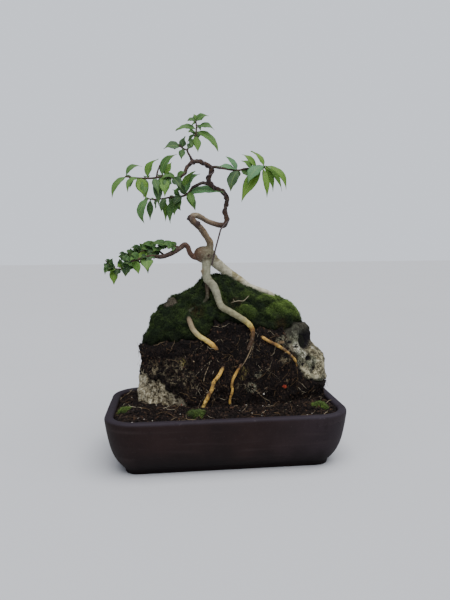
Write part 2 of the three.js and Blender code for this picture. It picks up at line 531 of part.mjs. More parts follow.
// Sprays: twigs are rows of [x, y, z, radius]; leaves are
// [share along the twig, dx, dy, dz, width, how far it arches up as a share of its length]
const SPRAYS = {
  upper_left_spray: {
    seed: 11,
    twigs: [
      {
        rows: [
          [-45.6, -6, 285.5, 1.2], [-52, -7, 286, 1.2], [-57.6, -8, 287, 1.1], [-69, -10, 284.8, 1],
          [-83, -12, 284.4, 0.9], [-96, -14, 285.6, 0.7],
        ],
        leaves: [
          [0.97, -14, -5, -21, 7.5, 0.15], [0.98, 16, 3, 10, 5.5, 0.27], [0.8, -10, -8, -15, 7.5, 0.24],
          [0.83, 9, -5, -21, 13, 0.08], [0.67, 11, -3, 18, 7.5, 0.22], [0.44, 15, -4, 21, 8.5, 0.22],
          [0.38, 7, 6, 15, 7.5, 0.1], [0.02, 10, -6, 5, 6, 0.12], [0.55, 2, -5, -28, 9, 0.06],
          [0.42, 1, -10, -21, 10.5, 0.05], [0.14, 8, -9, -12, 9.5, 0.1], [0.9, -3, 13, -9, 6, 0.12],
          [0.98, 6, 12, -4, 5.5, 0.12], [0.74, 2, 12, -16, 7, 0.1], [0.66, -5, 14, 1, 6, 0.15],
          [0.5, 4, 13, 2, 6, 0.15], [0.44, -4, 14, -15, 7, 0.1], [0.28, -3, 14, -4, 6, 0.12],
          [0.14, -4, 12, -8, 6, 0.12],
        ],
      },
      {
        rows: [
          [-65.6, -9.5, 285.6, 0.9], [-64.6, -9, 291, 0.8], [-62, -8.5, 298, 0.6],
        ],
        leaves: [],
      },
    ],
  },
  second_left_spray: {
    seed: 23,
    twigs: [
      {
        rows: [
          [-29.6, 7.7, 278, 1.1], [-37, 10, 270.5, 1.1], [-52.7, 13, 268.6, 1], [-60, 15, 267.5, 0.9],
          [-71, 17, 266.8, 0.8], [-76, 18, 268, 0.7],
        ],
        leaves: [
          [0.94, -5, -2, -26, 9.5, 0.24], [0.88, -1, 5, -22, 7, 0.05], [0.62, 3, -4, -24, 6, 0.12],
          [0.46, 13, -6, -14, 10, 0.06], [0.31, -7, -5, -29, 8, 0.14], [0.18, 9, -6, -17, 8.5, 0.08],
          [0.18, 10, -5, 23, 8.5, 0.22], [0.17, 14, -9, 19, 10, 0.24], [0.17, 39, -6, 1, 11, 0.09],
          [0.24, -10, -9, -12, 8, 0.1], [0.27, -8, -4, 6, 5, 0.1], [0.3, -5, 14, -16, 7, 0.1],
          [0.44, 8, 9, -4, 7, 0.12], [0.7, -3, 14, -10, 6.5, 0.1], [0.84, 4, 10, -3, 5.5, 0.12],
          [0.95, -6, 10, -6, 6, 0.1],
        ],
      },
    ],
  },
  right_spray: {
    seed: 37,
    twigs: [
      {
        rows: [
          [-2, -3.4, 296.2, 1.1], [9.8, -6, 294, 1.1], [15.9, -8, 293.2, 1], [21, -9, 294.3, 1],
          [27, -10, 294.8, 0.9], [38, -12, 293.6, 0.9], [42, -13, 297, 0.7],
        ],
        leaves: [
          [0.29, -21, -5, 2, 6.5, 0.1], [0.29, -11, 3, 14, 6.5, 0.1], [0.34, -9, -6, -22, 12, 0.12],
          [0.38, 12, -3, -9, 7.5, 0.1], [1, -19, -9, -20, 12.5, 0.16], [0.88, -22, -6, -34, 14, 0.06],
          [0.9, 3, -7, -30, 8, 0.07], [0.94, 10, 3, -24, 6.5, 0.12], [1, 20, -6, -25, 10, 0.15],
          [1, 18, 4, -25, 8, 0.1], [0.95, -13, 4, 16, 6, 0.14], [0.76, -14, 3, 15, 6, 0.12],
          [0.71, -12, -4, 7, 6.5, 0.1], [0.3, 2, 14, -8, 7, 0.1], [0.48, 5, 12, -5, 6, 0.12],
          [0.7, 2, 15, -12, 7, 0.1], [0.95, 12, 10, -14, 7, 0.12], [0.85, -8, 12, -12, 7, 0.1],
        ],
      },
    ],
  },
  apex_spray: {
    seed: 41,
    twigs: [
      {
        rows: [
          [-31.6, 0, 307, 1.1], [-34.6, 1, 314.4, 1], [-29.2, 2, 320.6, 1], [-26.2, 3, 329, 0.9],
          [-25, 3, 337, 0.8], [-25.6, 3, 344, 0.7],
        ],
        leaves: [
          [0.96, 13, -3, 5, 6, 0.16], [0.78, 18, -5, -3, 6.5, 0.2], [0.7, 22, -5, -21, 10, 0.14],
          [0.6, 2, -5, -18, 8, 0.06], [0.78, -19, -4, 0, 6.5, 0.14], [0.67, -8, -9, -2, 5, 0.1],
          [0.52, -4, -5, -10, 7, 0.05], [1, -7, 3, 1, 5, 0.1], [1, -2, 2, 6.4, 4.5, 0.1],
          [0.7, 4, 14, -7, 6.5, 0.12], [0.86, 5, 12, -3, 6, 0.12], [0.5, 4, 11, -3, 5, 0.1],
          [0.6, -8, 11, -5, 6, 0.1], [0.92, -4, 10, -1, 5, 0.12],
        ],
      },
      {
        rows: [
          [-34.5, 1, 314, 0.8], [-39, 0, 315.6, 0.8], [-43, -2, 318.4, 0.7],
        ],
        leaves: [
          [0.69, -18, -4, -3, 9, 0.13], [0.55, 3, -3, 11, 7.5, 0.1], [0.49, -2, -4, -12, 6.5, 0.06],
          [0.9, -5, 10, -2, 5.5, 0.12],
        ],
      },
    ],
  },
};

// Low pad: leafy stems with small crowded leaves set along both sides by a rule
const LOW_STEMS = {
  low_left_outer_spray: {
    seed: 54,
    size: [8, 12],
    twigs: [
      {
        rows: [
          [-70.6, -9.9, 209, 1.2], [-80, -11, 204.6, 1.1], [-90, -12, 199.6, 1], [-102, -12, 196, 0.9],
          [-111, -12, 197, 0.7],
        ],
        pairs: 4,
        leaves: [
          [0.97, 1, -6, -16, 8, 0.06], [0.82, -2, -5, -7, 7, 0.1], [0.73, -2, -7, 10, 7.5, 0.1],
          [0.62, -2, -6, -9, 7.5, 0.1], [0.58, -6, -9, 2, 8, 0.1], [0.52, -3, -5, 13, 8, 0.1],
        ],
      },
      {
        rows: [
          [-108, -12, 196.6, 0.7], [-113, -13, 200, 0.7], [-117, -13, 205, 0.6],
        ],
        pairs: 0,
        leaves: [
          [0.68, -3, -2, -11, 4, 0.1], [0.64, -3, -4, -4, 6, 0.1], [0.6, -2, -5, 5, 5.5, 0.1],
          [0.36, 2, -3, 8, 5, 0.1], [0.21, -3, -8, 4, 6.5, 0.1],
        ],
      },
    ],
  },
  low_left_back_spray: {
    seed: 67,
    size: [9, 13],
    twigs: [
      {
        rows: [
          [-60, -7.6, 209.6, 1.1], [-66, 1, 213.5, 1.1], [-79, 9, 213, 1], [-92, 13, 210, 0.8],
          [-101, 14, 206, 0.7],
        ],
        pairs: 5,
        leaves: [
          [0.82, 0, -1, 8, 7, 0.1], [0.68, -2, -2, 10, 7.5, 0.1], [1, -6, -3, 2, 7, 0.1],
          [0.54, -4, -2, 9, 8, 0.1],
        ],
      },
    ],
  },
  low_left_front_spray: {
    seed: 71,
    size: [8, 12],
    twigs: [
      {
        rows: [
          [-65, -10.6, 207.6, 1.1], [-72, -19, 209, 1.1], [-84, -26, 206, 1], [-97, -29, 202, 0.8],
        ],
        pairs: 4,
        leaves: [
          [0.77, 4, -4, -13, 7.5, 0.06], [0.59, 6, -3, -15, 5.5, 0.12], [0.54, 7, -4, -7, 5.5, 0.14],
          [0.95, 0, -4, -12, 6, 0.1], [0.84, -5, -5, 1, 7.5, 0.1], [0.67, -7, -5, 5, 8, 0.1],
        ],
      },
    ],
  },
  low_left_top_spray: {
    seed: 83,
    size: [8, 12],
    twigs: [
      {
        rows: [
          [-44.6, -5.6, 217.4, 1], [-52, -5, 218.4, 1], [-62, -4, 217.4, 0.9], [-74, -3, 215.6, 0.8],
          [-86, -3, 212, 0.7],
        ],
        pairs: 2,
        leaves: [
          [0.88, 2, -10, -15, 14, 0.05], [0.75, -8, -8, 0, 9, 0.12], [0.81, -1, -3, 8, 8, 0.1],
          [0.68, -3, -4, 7, 8.5, 0.12], [0.58, -4, -8, -4, 9, 0.1], [0.51, -2, -4, 6, 8, 0.12],
          [0.44, -4, -7, -4, 8, 0.1], [0.36, -2, -3, 6, 7, 0.12], [0.25, -3, -5, -3, 6.5, 0.1],
          [0.29, 5, -3, 4, 4.5, 0.12], [0.11, -4, 2, 5, 4.5, 0.1],
        ],
      },
    ],
  },
};

function sprayTwig(rows, leaves, stations, chance, grow) {
  const solids = [branch(rows, 9, 5, grow)];
  leaves.forEach(([share, dx, dy, dz, width, arch]) => {
    solids.push(blade(twigPoint(rows, share), point(dx, dy, dz), width, arch, stations, chance, grow));
  });
  return solids;
}

function spraySolid({ seed, twigs }, grow = 0) {
  const chance = seeded(seed);
  return join(twigs.flatMap(({ rows, leaves }) => sprayTwig(rows, leaves, LARGE_BLADE, chance, grow)));
}

// Small leaves in pairs along the twig, besides those placed by hand
function pairedLeaves(pairs, size, chance) {
  const set = [];
  for (let i = 0; i < pairs; i++) {
    const share = 0.22 + (0.74 * i) / (pairs - 1);
    for (const side of [-1, 1]) {
      const length = THREE.MathUtils.lerp(size[0], size[1], chance());
      const lift = -0.7 + 1.4 * chance();
      const spread = 0.75 + 0.5 * chance();
      const reach = point(-0.55, side * spread, lift).normalize().multiplyScalar(length);
      set.push([share, reach.x, reach.y, reach.z, length * (0.5 + 0.16 * chance()), PAIR_ARCH]);
    }
  }
  return set;
}

function lowStemSolid({ seed, size, twigs }, grow = 0) {
  const chance = seeded(seed);
  return join(twigs.flatMap(({ rows, pairs, leaves }) => {
    const set = [...leaves, ...pairedLeaves(pairs, size, chance)];
    return sprayTwig(rows, set, SMALL_BLADE, chance, grow);
  }));
}

// Assembly

const rockGrown = moundSolid(rockOffset, COVER_GAP);
const woodGrown = woodSolid(GAP);
const wireGrown = wireSolid(GAP);
const mossOuter = moundSolid(mossOffset);
const mossGrown = moundSolid(mossOffset, COVER_GAP);
const peatGrown = moundSolid(peatOffset, COVER_GAP);

const tree = new THREE.Group();
tree.add(toMesh('pot', potSolid(), 0x3a3235, 0.62));

const tuftsGrown = Object.values(SOIL_TUFTS).map((tuft) => mossTuft(tuft, 2 * GAP));
const soil = cut(soilSolid(), [rockGrown, mossGrown, peatGrown, woodGrown, ...tuftsGrown]);
tree.add(toMesh('soil', soil, 0x2a2019, 0.95));
for (const [name, tuft] of Object.entries(SOIL_TUFTS)) {
  tree.add(toMesh(name, cut(mossTuft(tuft), [rockGrown, peatGrown]), 0x55702a, 0.95));
}

tree.add(toMesh('rock', cut(moundSolid(rockOffset), [woodGrown]), 0x9a9480, 0.9));
tree.add(toMesh('peat', cut(moundSolid(peatOffset), [rockGrown, mossGrown, woodGrown]), 0x2b2320, 0.97));
tree.add(toMesh('moss', cut(mossOuter, [rockGrown, woodGrown]), 0x3f6420, 0.95));
tree.add(toMesh('tree_wood', woodSolid(), 0xb0a88c, 0.75));
tree.add(toMesh('training_wire', cut(wireSolid(), [woodGrown, mossGrown]), 0x4a3c3a, 0.5));

const placed = [];
const addSpray = (name, build) => {
  const leafy = cut(build(0), [woodGrown, wireGrown, ...placed]);
  tree.add(toMesh(name, leafy, 0x4f7d33, 0.55));
  placed.push(build(GAP));
};
for (const [name, spray] of Object.entries(SPRAYS)) addSpray(name, (grow) => spraySolid(spray, grow));
for (const [name, stem] of Object.entries(LOW_STEMS)) addSpray(name, (grow) => lowStemSolid(stem, grow));

export default tree;
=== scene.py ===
import json
import math
import random

import bmesh
import bpy
import numpy as np
from mathutils import Matrix, Vector, noise
from mathutils.bvhtree import BVHTree
from mathutils.kdtree import KDTree

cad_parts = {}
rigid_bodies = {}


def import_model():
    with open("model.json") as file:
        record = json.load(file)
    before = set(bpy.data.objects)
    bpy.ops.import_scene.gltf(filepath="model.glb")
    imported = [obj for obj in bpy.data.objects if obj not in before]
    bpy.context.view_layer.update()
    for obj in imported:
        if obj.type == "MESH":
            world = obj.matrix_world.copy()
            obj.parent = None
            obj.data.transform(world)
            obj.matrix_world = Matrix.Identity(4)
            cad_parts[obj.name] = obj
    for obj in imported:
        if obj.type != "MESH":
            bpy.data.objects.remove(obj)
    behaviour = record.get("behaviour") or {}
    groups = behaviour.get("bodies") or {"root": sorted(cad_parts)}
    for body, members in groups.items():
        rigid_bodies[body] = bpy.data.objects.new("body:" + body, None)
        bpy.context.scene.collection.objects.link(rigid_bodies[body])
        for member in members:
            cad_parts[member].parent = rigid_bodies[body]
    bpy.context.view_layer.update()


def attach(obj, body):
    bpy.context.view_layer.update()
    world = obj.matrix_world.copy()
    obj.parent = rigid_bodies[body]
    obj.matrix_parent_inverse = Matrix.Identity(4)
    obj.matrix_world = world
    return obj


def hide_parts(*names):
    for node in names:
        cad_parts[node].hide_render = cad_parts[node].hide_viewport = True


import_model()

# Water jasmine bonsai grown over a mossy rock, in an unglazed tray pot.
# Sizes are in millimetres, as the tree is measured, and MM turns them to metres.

MM = 0.001

# Camera: place in metres, turn, tilt and roll in degrees, focal length for the photograph's height
CAMERA_PLACE = (-0.0531, -0.5243, 0.214)
CAMERA_TURN = 6.0
CAMERA_TILT = 5.6
CAMERA_ROLL = -0.5
FOCAL_PIXELS = 510
PHOTO_HEIGHT = 600
SENSOR = 36

# Studio: a wide overhead light, a weak lamp at the front left, light all round, and the floor's half width
SUN_STRENGTH = 3.75
SUN_WIDTH = 60
SUN_LEAN = (20, 8, 0)
SUN_COLOUR = (1.0, 0.99, 0.97)
LAMP_PLACE = (-1.1, -1.2, 0.9)
LAMP_TARGET = (0, 0, 0.15)
LAMP_WIDTH = 1.0
LAMP_POWER = 4
LAMP_COLOUR = (0.95, 0.97, 1.0)
ROOM_LIGHT = 0.37
BACKDROP_LIGHT = 1.35
FLOOR_REACH = 8.0

# Pot
POT_LENGTH = 240
POT_DEPTH = 132
POT_HEIGHT = 56
POT_CORNER = 32
POT_WALL = 9
POT_FLOOR = 9
CAVITY_KNEE = 31
CAVITY_SLOPE = 0.42
FOOT_RECESS = 3
FOOT_WIDTH = 9
DRAIN_RADIUS = 6
DRAIN_OFFSET = 45
POT_SHARP_ANGLE = 50
POT_PROFILE = [
    (0, 19.5), (0.02, 18.8), (0.08, 17.6), (0.13, 15.1), (0.2, 11.8), (0.28, 9), (0.37, 6.6), (0.49, 4.4),
    (0.66, 2.3), (0.85, 0.6), (0.955, 0), (0.985, 0.5), (1, 1.6),
]

# Soil, with its three cushions of moss: x, y, radius and height
SOIL_LEVEL = 52.5
SOIL_MOUND = 59.5
SOIL_TUFTS = {
    "soil_moss_left": (-99, -22, 9, 8),
    "soil_moss_front": (-31, -43, 10, 9),
    "soil_moss_right": (92, -37, 9, 10.5),
}
TUFT_SUNK = 2.5
TUFT_FLATNESS = 0.62
# Share of a cushion's height, then its width there as a share of its radius
TUFT_PROFILE = [(0, 0.9), (0.2, 0.98), (0.4, 1), (0.55, 0.93), (0.7, 0.82), (0.82, 0.66), (0.92, 0.44)]

# Mound of rock, peat and moss: height, left, right, front and back of each level section
MOUND = np.array([
    (16, -84, 104, -30, 46), (52, -90, 108, -34, 50), (64, -90, 108, -33.5, 50), (76, -89, 113.5, -33, 50),
    (90, -87.5, 111, -32.5, 49), (103, -85.5, 108, -31.5, 49), (115, -88.5, 99, -30, 48),
    (127, -82.5, 95, -27.5, 47), (137, -77.5, 87, -25, 45), (147, -72.5, 81.5, -21.5, 42),
    (156, -66, 74, -18, 38), (163, -58, 63.5, -14.5, 34), (169, -46, 45, -11.5, 30), (176, -33, 27, -8, 25),
    (183, -25, 17, -4, 19), (188, -20, 8, 0, 14), (190.5, -10, -7, 6, 8),
])
MOUND_TOP = np.array((-9, 7, 190))
MOUND_POWER = 2.4
MOSS_THICKNESS = 5
PEAT_THICKNESS = 4.5
BURIED = -9
# Grids of the mound's layers: points around, rings, and the level section that the lowest ring lies on
ROCK_GRID = (340, 120, 0.75)
PEAT_GRID = (380, 125, 0.75)
MOSS_GRID = (300, 90, 5.0)
MOSS_EDGE = [
    (-95, 119), (-69, 122), (-49, 126), (-33, 127), (-20, 131), (-10, 142), (2, 145), (28, 138.5),
    (46, 134.5), (62, 132.5), (80, 140), (95, 141),
]
PEAT_RIGHT = [
    (50, 120), (74, 112), (76.5, 98), (82, 85), (93, 75), (104, 71), (117, 62), (131, 60),
]
BARE_LEFT = [(-95, 95), (-87, 93), (-60, 80), (-40, 62), (-30, 40)]

# Cushions of the moss on the front: x, height, reach along and up, how far they swell and how bright the
# painted light on their tops is
MOSS_CUSHIONS = [
    (20, 150.5, 14, 9, 1.7, 0.65), (62, 151.5, 21, 10, 3.0, 0.95), (50, 164, 19, 4.5, 1.6, 0.8),
    (80, 144, 10, 9, 1.8, 0.7), (2, 148, 9, 5, 1.6, 0.5), (-8, 168, 7, 9, 1.2, 0.45),
    (24, 168, 9, 5, 1.4, 0.35), (-40, 147, 16, 8, 1.6, 0.12), (-66, 141, 13, 9, 1.6, 0.1),
    (-30, 132, 14, 4.5, 1.2, 0.3),
]
MOSS_DROP = 1.3
# Brownish patches of the moss: x, y, z and reach
BROWN_MOSS = [
    (58, -18, 139, 11), (61, -20, 131, 8), (-3, -17, 159, 9), (-28, -12, 152, 12), (12, -15, 161, 8),
]

# Holes in the bare rock at the right: x, height, reach along and up, and depth
ROCK_HOLES = [
    (88.5, 122, 9.8, 9.8, 10), (88.5, 103, 4, 3.6, 4.5), (94.5, 91, 2.4, 2.8, 3), (67, 120, 3, 1.4, 2),
    (73.5, 115.5, 3.4, 1.3, 2), (80, 97, 2.2, 1.6, 1.6),
]

# The swollen lump at the foot of the trunk, and the knot scar on it
LUMP = np.array((-18.9, 0, 210.5))
LUMP_RADIUS = 9.3
KNOT_SCAR = np.array((-14.7, -8, 208.1))


def turns(sides):
    """Angles of even steps round a full turn."""
    return np.arange(sides) / sides * 2 * math.pi


def look_up(rows, keys, column=1):
    table = np.asarray(rows, dtype=float)
    return np.interp(keys, table[:, 0], table[:, column])


def rise(low, high, value):
    share = np.clip((value - low) / (high - low), 0, 1)
    return share * share * (3 - 2 * share)


def fall(low, high, value):
    return 1 - rise(low, high, value)


def on_front(x, height, out):
    """A point on the mound's front face, standing out from it by the given distance."""
    left, right, front, back = (look_up(MOUND, height, column) for column in (1, 2, 3, 4))
    share = min(abs((x - (left + right) / 2) / ((right - left) / 2)), 0.999)
    y = (front + back) / 2 - (back - front) / 2 * (1 - share ** MOUND_POWER) ** (1 / MOUND_POWER)
    slope = (look_up(MOUND, height + 5, 3) - look_up(MOUND, height - 5, 3)) / 10
    outward = np.array((0, -1, slope)) / math.hypot(1, slope)
    return np.array((x, y, height)) + outward * out


def surface_rows(rows):
    return [(*on_front(x, height, out), radius) for x, height, radius, out in rows]


# Roots, trunk and branches: x, y, height and radius, or on the mound x, height, radius and how far
# it stands out
FRONT_ROOT = [
    (-18.9, 0, 210, 4.6), (-17.1, -3, 201.1, 4.2), (-17.6, -6, 194.9, 3.9), (-17.2, -8, 186.6, 4),
    (-14.6, -8.4, 181.6, 4),
    *surface_rows([
        (-11.1, 176.7, 3.9, 3), (-7.6, 168.8, 3.3, 2.4), (-6.4, 164, 3.1, 2.2), (-3.6, 156.9, 2.8, 2),
        (3.9, 152.4, 2.7, 2), (11.4, 148, 2.6, 2), (20.1, 142.2, 2.6, 2), (25, 137.3, 2.5, 1.8),
        (26.8, 132.4, 2.3, 1.5), (25.6, 125.2, 2.2, 1.2), (23.2, 119.1, 2, 0), (18.6, 108.9, 1.6, -2.6),
        (12.6, 98.5, 1.5, 0.6), (7.4, 89.9, 1.6, 0.9), (4.4, 81.1, 1.6, 0.9), (5.2, 75.9, 1.5, 0.8),
        (2.8, 67.1, 1.4, 0.5), (2.2, 57.2, 1.3, -2),
    ]),
]
LEFT_ROOT = [
    (-15, -8, 183, 2.4),
    *surface_rows([
        (-17, 178.5, 2.1, 1.4), (-16.9, 172.4, 1.8, 0.8), (-17.5, 166.2, 1.7, -1), (-24.6, 159.6, 1.8, -4.5),
        (-33.8, 155.5, 1.9, -4), (-36.5, 149.6, 1.9, -2.2), (-35.4, 142.7, 2.4, 1.4),
        (-32.2, 135.1, 2.4, 1.4), (-26.4, 129.2, 2.3, 1.4), (-19.7, 125.1, 2.2, 1.3),
        (-13.4, 120.2, 2.2, 1.1), (-8.4, 114.7, 1.9, -1.4), (-3.5, 105.5, 1.6, -2.8), (-3.9, 99.4, 1.6, 0),
        (-7.9, 91, 1.8, 0.9), (-13.1, 84.5, 1.7, 0.9), (-15.3, 77.2, 1.8, 1), (-19.7, 68.7, 1.9, 1.2),
        (-23.9, 59.4, 1.8, 0.6), (-25.3, 53.1, 1.5, -1),
    ]),
]
RIGHT_ROOT = surface_rows([
    (24.5, 138, 1.8, 1), (31, 131, 1.6, -2.4), (38.6, 125.2, 1.5, 0.8), (44.1, 121.9, 1.6, 1),
    (49.8, 119, 1.6, 1), (55.4, 115.6, 1.5, 1), (60.5, 112.2, 1.5, 0.9), (65.8, 107.2, 1.4, 0.7),
    (70.4, 101.7, 1.3, 0.3), (72.1, 94.9, 1.1, -2),
])
BACK_ROOT = [
    (-16, 0, 208, 4.6), (-9.9, 2, 203.3, 4.7), (-4.6, 3, 199.1, 4.6), (1.7, 4, 193.8, 4.2),
    (8, 5, 189.5, 3.8), (12.9, 6, 186.3, 3.5), (18.7, 6, 182.7, 3), (28.2, 6, 175.4, 2.8),
    (39.9, 6, 171.3, 2.4), (47.4, 6, 168.8, 2.1), (52.6, 5, 165.7, 1.8), (56, 5, 160, 1.5),
]
TRUNK = [
    (-17.1, 0, 211, 4.2), (-13.4, 0, 216, 3.4), (-13.1, -1, 221.6, 3), (-17.3, -3, 228.6, 2.9),
    (-22.1, -5, 235.4, 2.9), (-27, -6, 240.4, 3.1), (-31.2, -6, 244.6, 3), (-30.4, -5, 248.4, 2.7),
    (-25.9, -3, 248.9, 2.4), (-20.7, -1, 246.6, 2.3), (-15.9, 1, 243.8, 2.3), (-8.6, 3, 241.1, 2.3),
    (-2.5, 4, 239.6, 2.4), (2.6, 5, 239.8, 2.5), (5, 6, 244.5, 2.1), (3.7, 7, 253.7, 1.8),
    (4.4, 8, 259.7, 1.7), (6, 8, 266, 1.9), (4.2, 7, 270.6, 1.9), (-1.2, 6, 275, 1.8), (-8.5, 5, 278.6, 1.8),
    (-12.9, 3, 282.2, 2), (-13.2, 2, 286.5, 1.8), (-11.3, 1, 291.4, 1.8), (-11, 0, 296.2, 1.9),
    (-14.5, 0, 299.6, 1.8), (-19.8, 0, 301.4, 1.7), (-24.9, 0, 303, 1.7), (-29.4, -1, 302.2, 1.7),
    (-33, -2, 299.3, 1.6), (-36, -3, 295.8, 1.5), (-37.4, -4, 291, 1.4), (-41.2, -5, 287.5, 1.3),
    (-46.5, -6, 285.2, 1.3),
]
LOW_BRANCH = [
    (-20, -1, 208, 2.6), (-26.9, -1.5, 206.6, 2.5), (-31, -2.5, 208, 2.4), (-34, -3.4, 212, 2.4),
    (-36, -4.4, 217.6, 2.4), (-38.6, -5, 219.8, 2.3), (-44.2, -6, 215.8, 2.2), (-54.7, -8, 210.1, 2.1),
    (-63.2, -9, 207.8, 1.9), (-71.7, -10, 209, 1.7),
]
SECOND_BRANCH = [
    (-12.5, 3.2, 281, 1.6), (-15.4, 3.4, 281.4, 1.5), (-19, 4.2, 282.4, 1.4), (-24.7, 6, 280.4, 1.3),
    (-30.6, 8, 277.6, 1.2),
]
RIGHT_BRANCH = [(-11.5, 0, 296, 1.4), (-8, -1.5, 297.3, 1.3), (-1, -3.6, 296, 1.2)]
APEX_BRANCH = [(-29, -1, 302, 1.4), (-30.6, -0.5, 304.6, 1.3), (-32, 0, 308, 1.2)]


def front_spots(rows):
    """Places on the front of the mound, from x, height and reach to x, y, z and reach."""
    return [(*on_front(x, height, 0), reach) for x, height, reach in rows]


# Stony places, lichen with its dark hearts and yellowish growth on the peat; dark stone and crust on the rock
STONY_PLACES = front_spots([
    (-72, 96, 11), (-60, 97, 12), (-47, 99, 12), (-40, 88, 11), (-36, 78, 9), (-50, 86, 12), (14, 78, 7),
    (60, 104, 7),
])
LICHEN_PLACES = front_spots([(24.2, 77.6, 6.5), (31, 90.2, 5), (-14, 83, 3.5), (57, 121, 8)])
LICHEN_HEARTS = front_spots([(24.6, 76.4, 3.4)])
TOP_STONE = front_spots([(-57, 163, 18)])
ROCK_CRUST = front_spots([(75, 114, 8), (82, 108, 7), (96, 112, 6), (97, 126, 5), (90, 98, 5)])
YELLOW_PLACES = front_spots([(17, 94.4, 6.5), (15, 88, 4.5), (-44, 104, 6)])

# Training wire, partly bedded in the bark: length of trunk, steps and starting angle of its turns; the stay
# that leads up to them; and the trunk's rows that it is wound on
WIRE_RADIUS = 0.85
WIRE_TURN = 15
WIRE_STEPS = 28
WIRE_PHASE = 1.96
WIRE_CLEARANCE = -0.2
WIRE_SPACING = 0.35
WIRE_STAY = [
    (-11.9, -7.5, 199), (-10.2, -7.8, 206.5), (-7.8, -7, 215.6), (-5.1, -5, 224.7), (-1.3, -2.2, 237.4),
]
WIRE_FIRST_ROW = 14
WIRE_LAST_ROW = 30

# Rootlets that show one by one: places on the front as x and height, thickness at both ends, and tint
SINGLE_ROOTLETS = [
    ([(-16.6, 103.6), (-19.2, 97.3), (-22, 91.4), (-23.2, 85.4)], 0.5, 0.9, 0.93),
    ([(26.6, 128), (26.4, 122), (24.6, 116), (21.6, 110), (18, 104), (14.4, 98.6)], 1.2, 0.9, 0.92),
    ([(27.6, 126), (27.4, 119), (25, 112), (22, 107)], 0.4, 0.3, 0.95),
    ([(-28.7, 75.5), (-26.5, 72), (-24.5, 65.9)], 0.4, 0.3, 1.0),
    ([(-28.7, 75.5), (-26.6, 77), (-24.9, 76)], 0.35, 0.25, 1.0),
    ([(-8.3, 123.5), (-2.3, 128.3), (2.3, 133.8)], 0.3, 0.2, 0.8),
    ([(-2.3, 128.1), (2, 126.1), (7, 125)], 0.25, 0.15, 0.8),
    ([(-2.3, 128.1), (-6, 129), (-9, 132)], 0.25, 0.15, 0.75),
    ([(5.8, 133.8), (5.2, 125.1), (5.9, 116.3)], 0.3, 0.2, 0.72),
    ([(44.8, 132.4), (47.3, 130.3), (50, 127.3)], 0.4, 0.25, 0.95),
    ([(46, 127.5), (50, 124.5), (56, 124), (60, 122.5)], 0.35, 0.2, 0.7),
    ([(71.7, 93.8), (72.4, 88), (71.6, 78.1), (72.6, 70)], 0.5, 0.25, 0.9),
    ([(-64.5, 133.6), (-56.3, 135.3), (-48.3, 136.1)], 0.35, 0.2, 0.78),
    ([(18, 96), (17, 90), (15.2, 84)], 0.45, 0.2, 0.74),
    ([(20, 97.5), (19.4, 91), (18, 86)], 0.4, 0.2, 0.78),
    ([(14, 93), (13.2, 88), (12.8, 83)], 0.4, 0.2, 0.7),
    ([(38, 112), (42, 104), (45, 97)], 0.25, 0.2, 0.55),
    ([(28, 110), (31, 101), (33, 93)], 0.25, 0.2, 0.5),
    ([(-34.2, 106.2), (-33, 104.8), (-31.8, 103.8)], 0.5, 0.4, 0.95),
]
# Dry twig that lies on the moss: x, height and how far it stands out
DRY_TWIG = [(6.6, 161.5, 0.6), (13.7, 162.2, 1.4), (19.1, 162.4, 1.6), (22.1, 164.2, 2), (24.9, 166.5, 2.6)]
# Bits lying on the peat: x, height, size across, up and out, and finish
BITS = [
    (58.4, 76.5, 4.6, 3.4, 1.2, "red"), (61.1, 82.1, 1.1, 2.6, 0.8, "pale"),
    (66, 60.3, 2.2, 3.8, 1.2, "pale"), (36.8, 70.4, 1.5, 1.5, 1.2, "white"),
    (-33, 105, 2.2, 1.2, 0.8, "pale"), (-12.5, 78, 1.1, 1.1, 0.8, "pale"),
    (55.9, 120.6, 7, 3.6, 1.0, "tan"), (-45, 61, 2.2, 1.4, 1, "red"),
]
# Hanging rootlets: how many in all, where along the front and how high they start, and how low they reach
HANGING_ROOTLETS = 460
ROOTLET_SPAN = (-84, 100)
ROOTLET_START = (60, 138)
ROOTLET_FOOT = 56
# Things are laid on the mound from so far out, and looked for so far in
LAID_FROM = 14
LAID_REACH = 30

MOUND_SHOOT_HEIGHT = 2.0
TUFT_SHOOT_HEIGHT = 2.2
# Strewn pieces: finish, slot, how many to a square millimetre, where, seed, smallest and largest share of the
# shape's size, how far they lean, how far they turn upright, and how far they stand off
STREWN = {
    "moss_shoots_front": ("moss_shoots", "moss_green", 0.62, "front", 5, 0.7, 1.35, 0.5, 0.3, -0.25),
    "moss_shoots_back": ("moss_shoots", "moss_green", 0.42, "back", 5, 0.7, 1.35, 0.5, 0.3, -0.25),
    "peat_fibres": ("fibres", "peat_rootlets", 0.065, "open", 21, 0.6, 1.1, 0.3, 0.0, 0.1),
    "peat_crumbs": ("crumbs", "peat_rootlets", 0.14, "open", 33, 0.7, 2.6, 3.0, 0.0, 0.1),
    "soil_crumbs": ("crumbs", "soil_dark", 0.55, "open", 41, 0.7, 2.8, 3.0, 0.0, 0.2),
    "white_specks": ("specks", "soil_dark", 0.004, "open", 43, 0.9, 1.7, 3.0, 0.0, 0.9),
    "soil_straw": ("fibres", "soil_dark", 0.05, "open", 47, 0.6, 1.2, 0.35, 0.4, 0.8),
    **{
        tuft + "_shoots": ("moss_shoots", "moss_green", 1.6, "open", 61, 0.7, 1.4, 0.6, 0.5, -0.2)
        for tuft in SOIL_TUFTS
    },
}
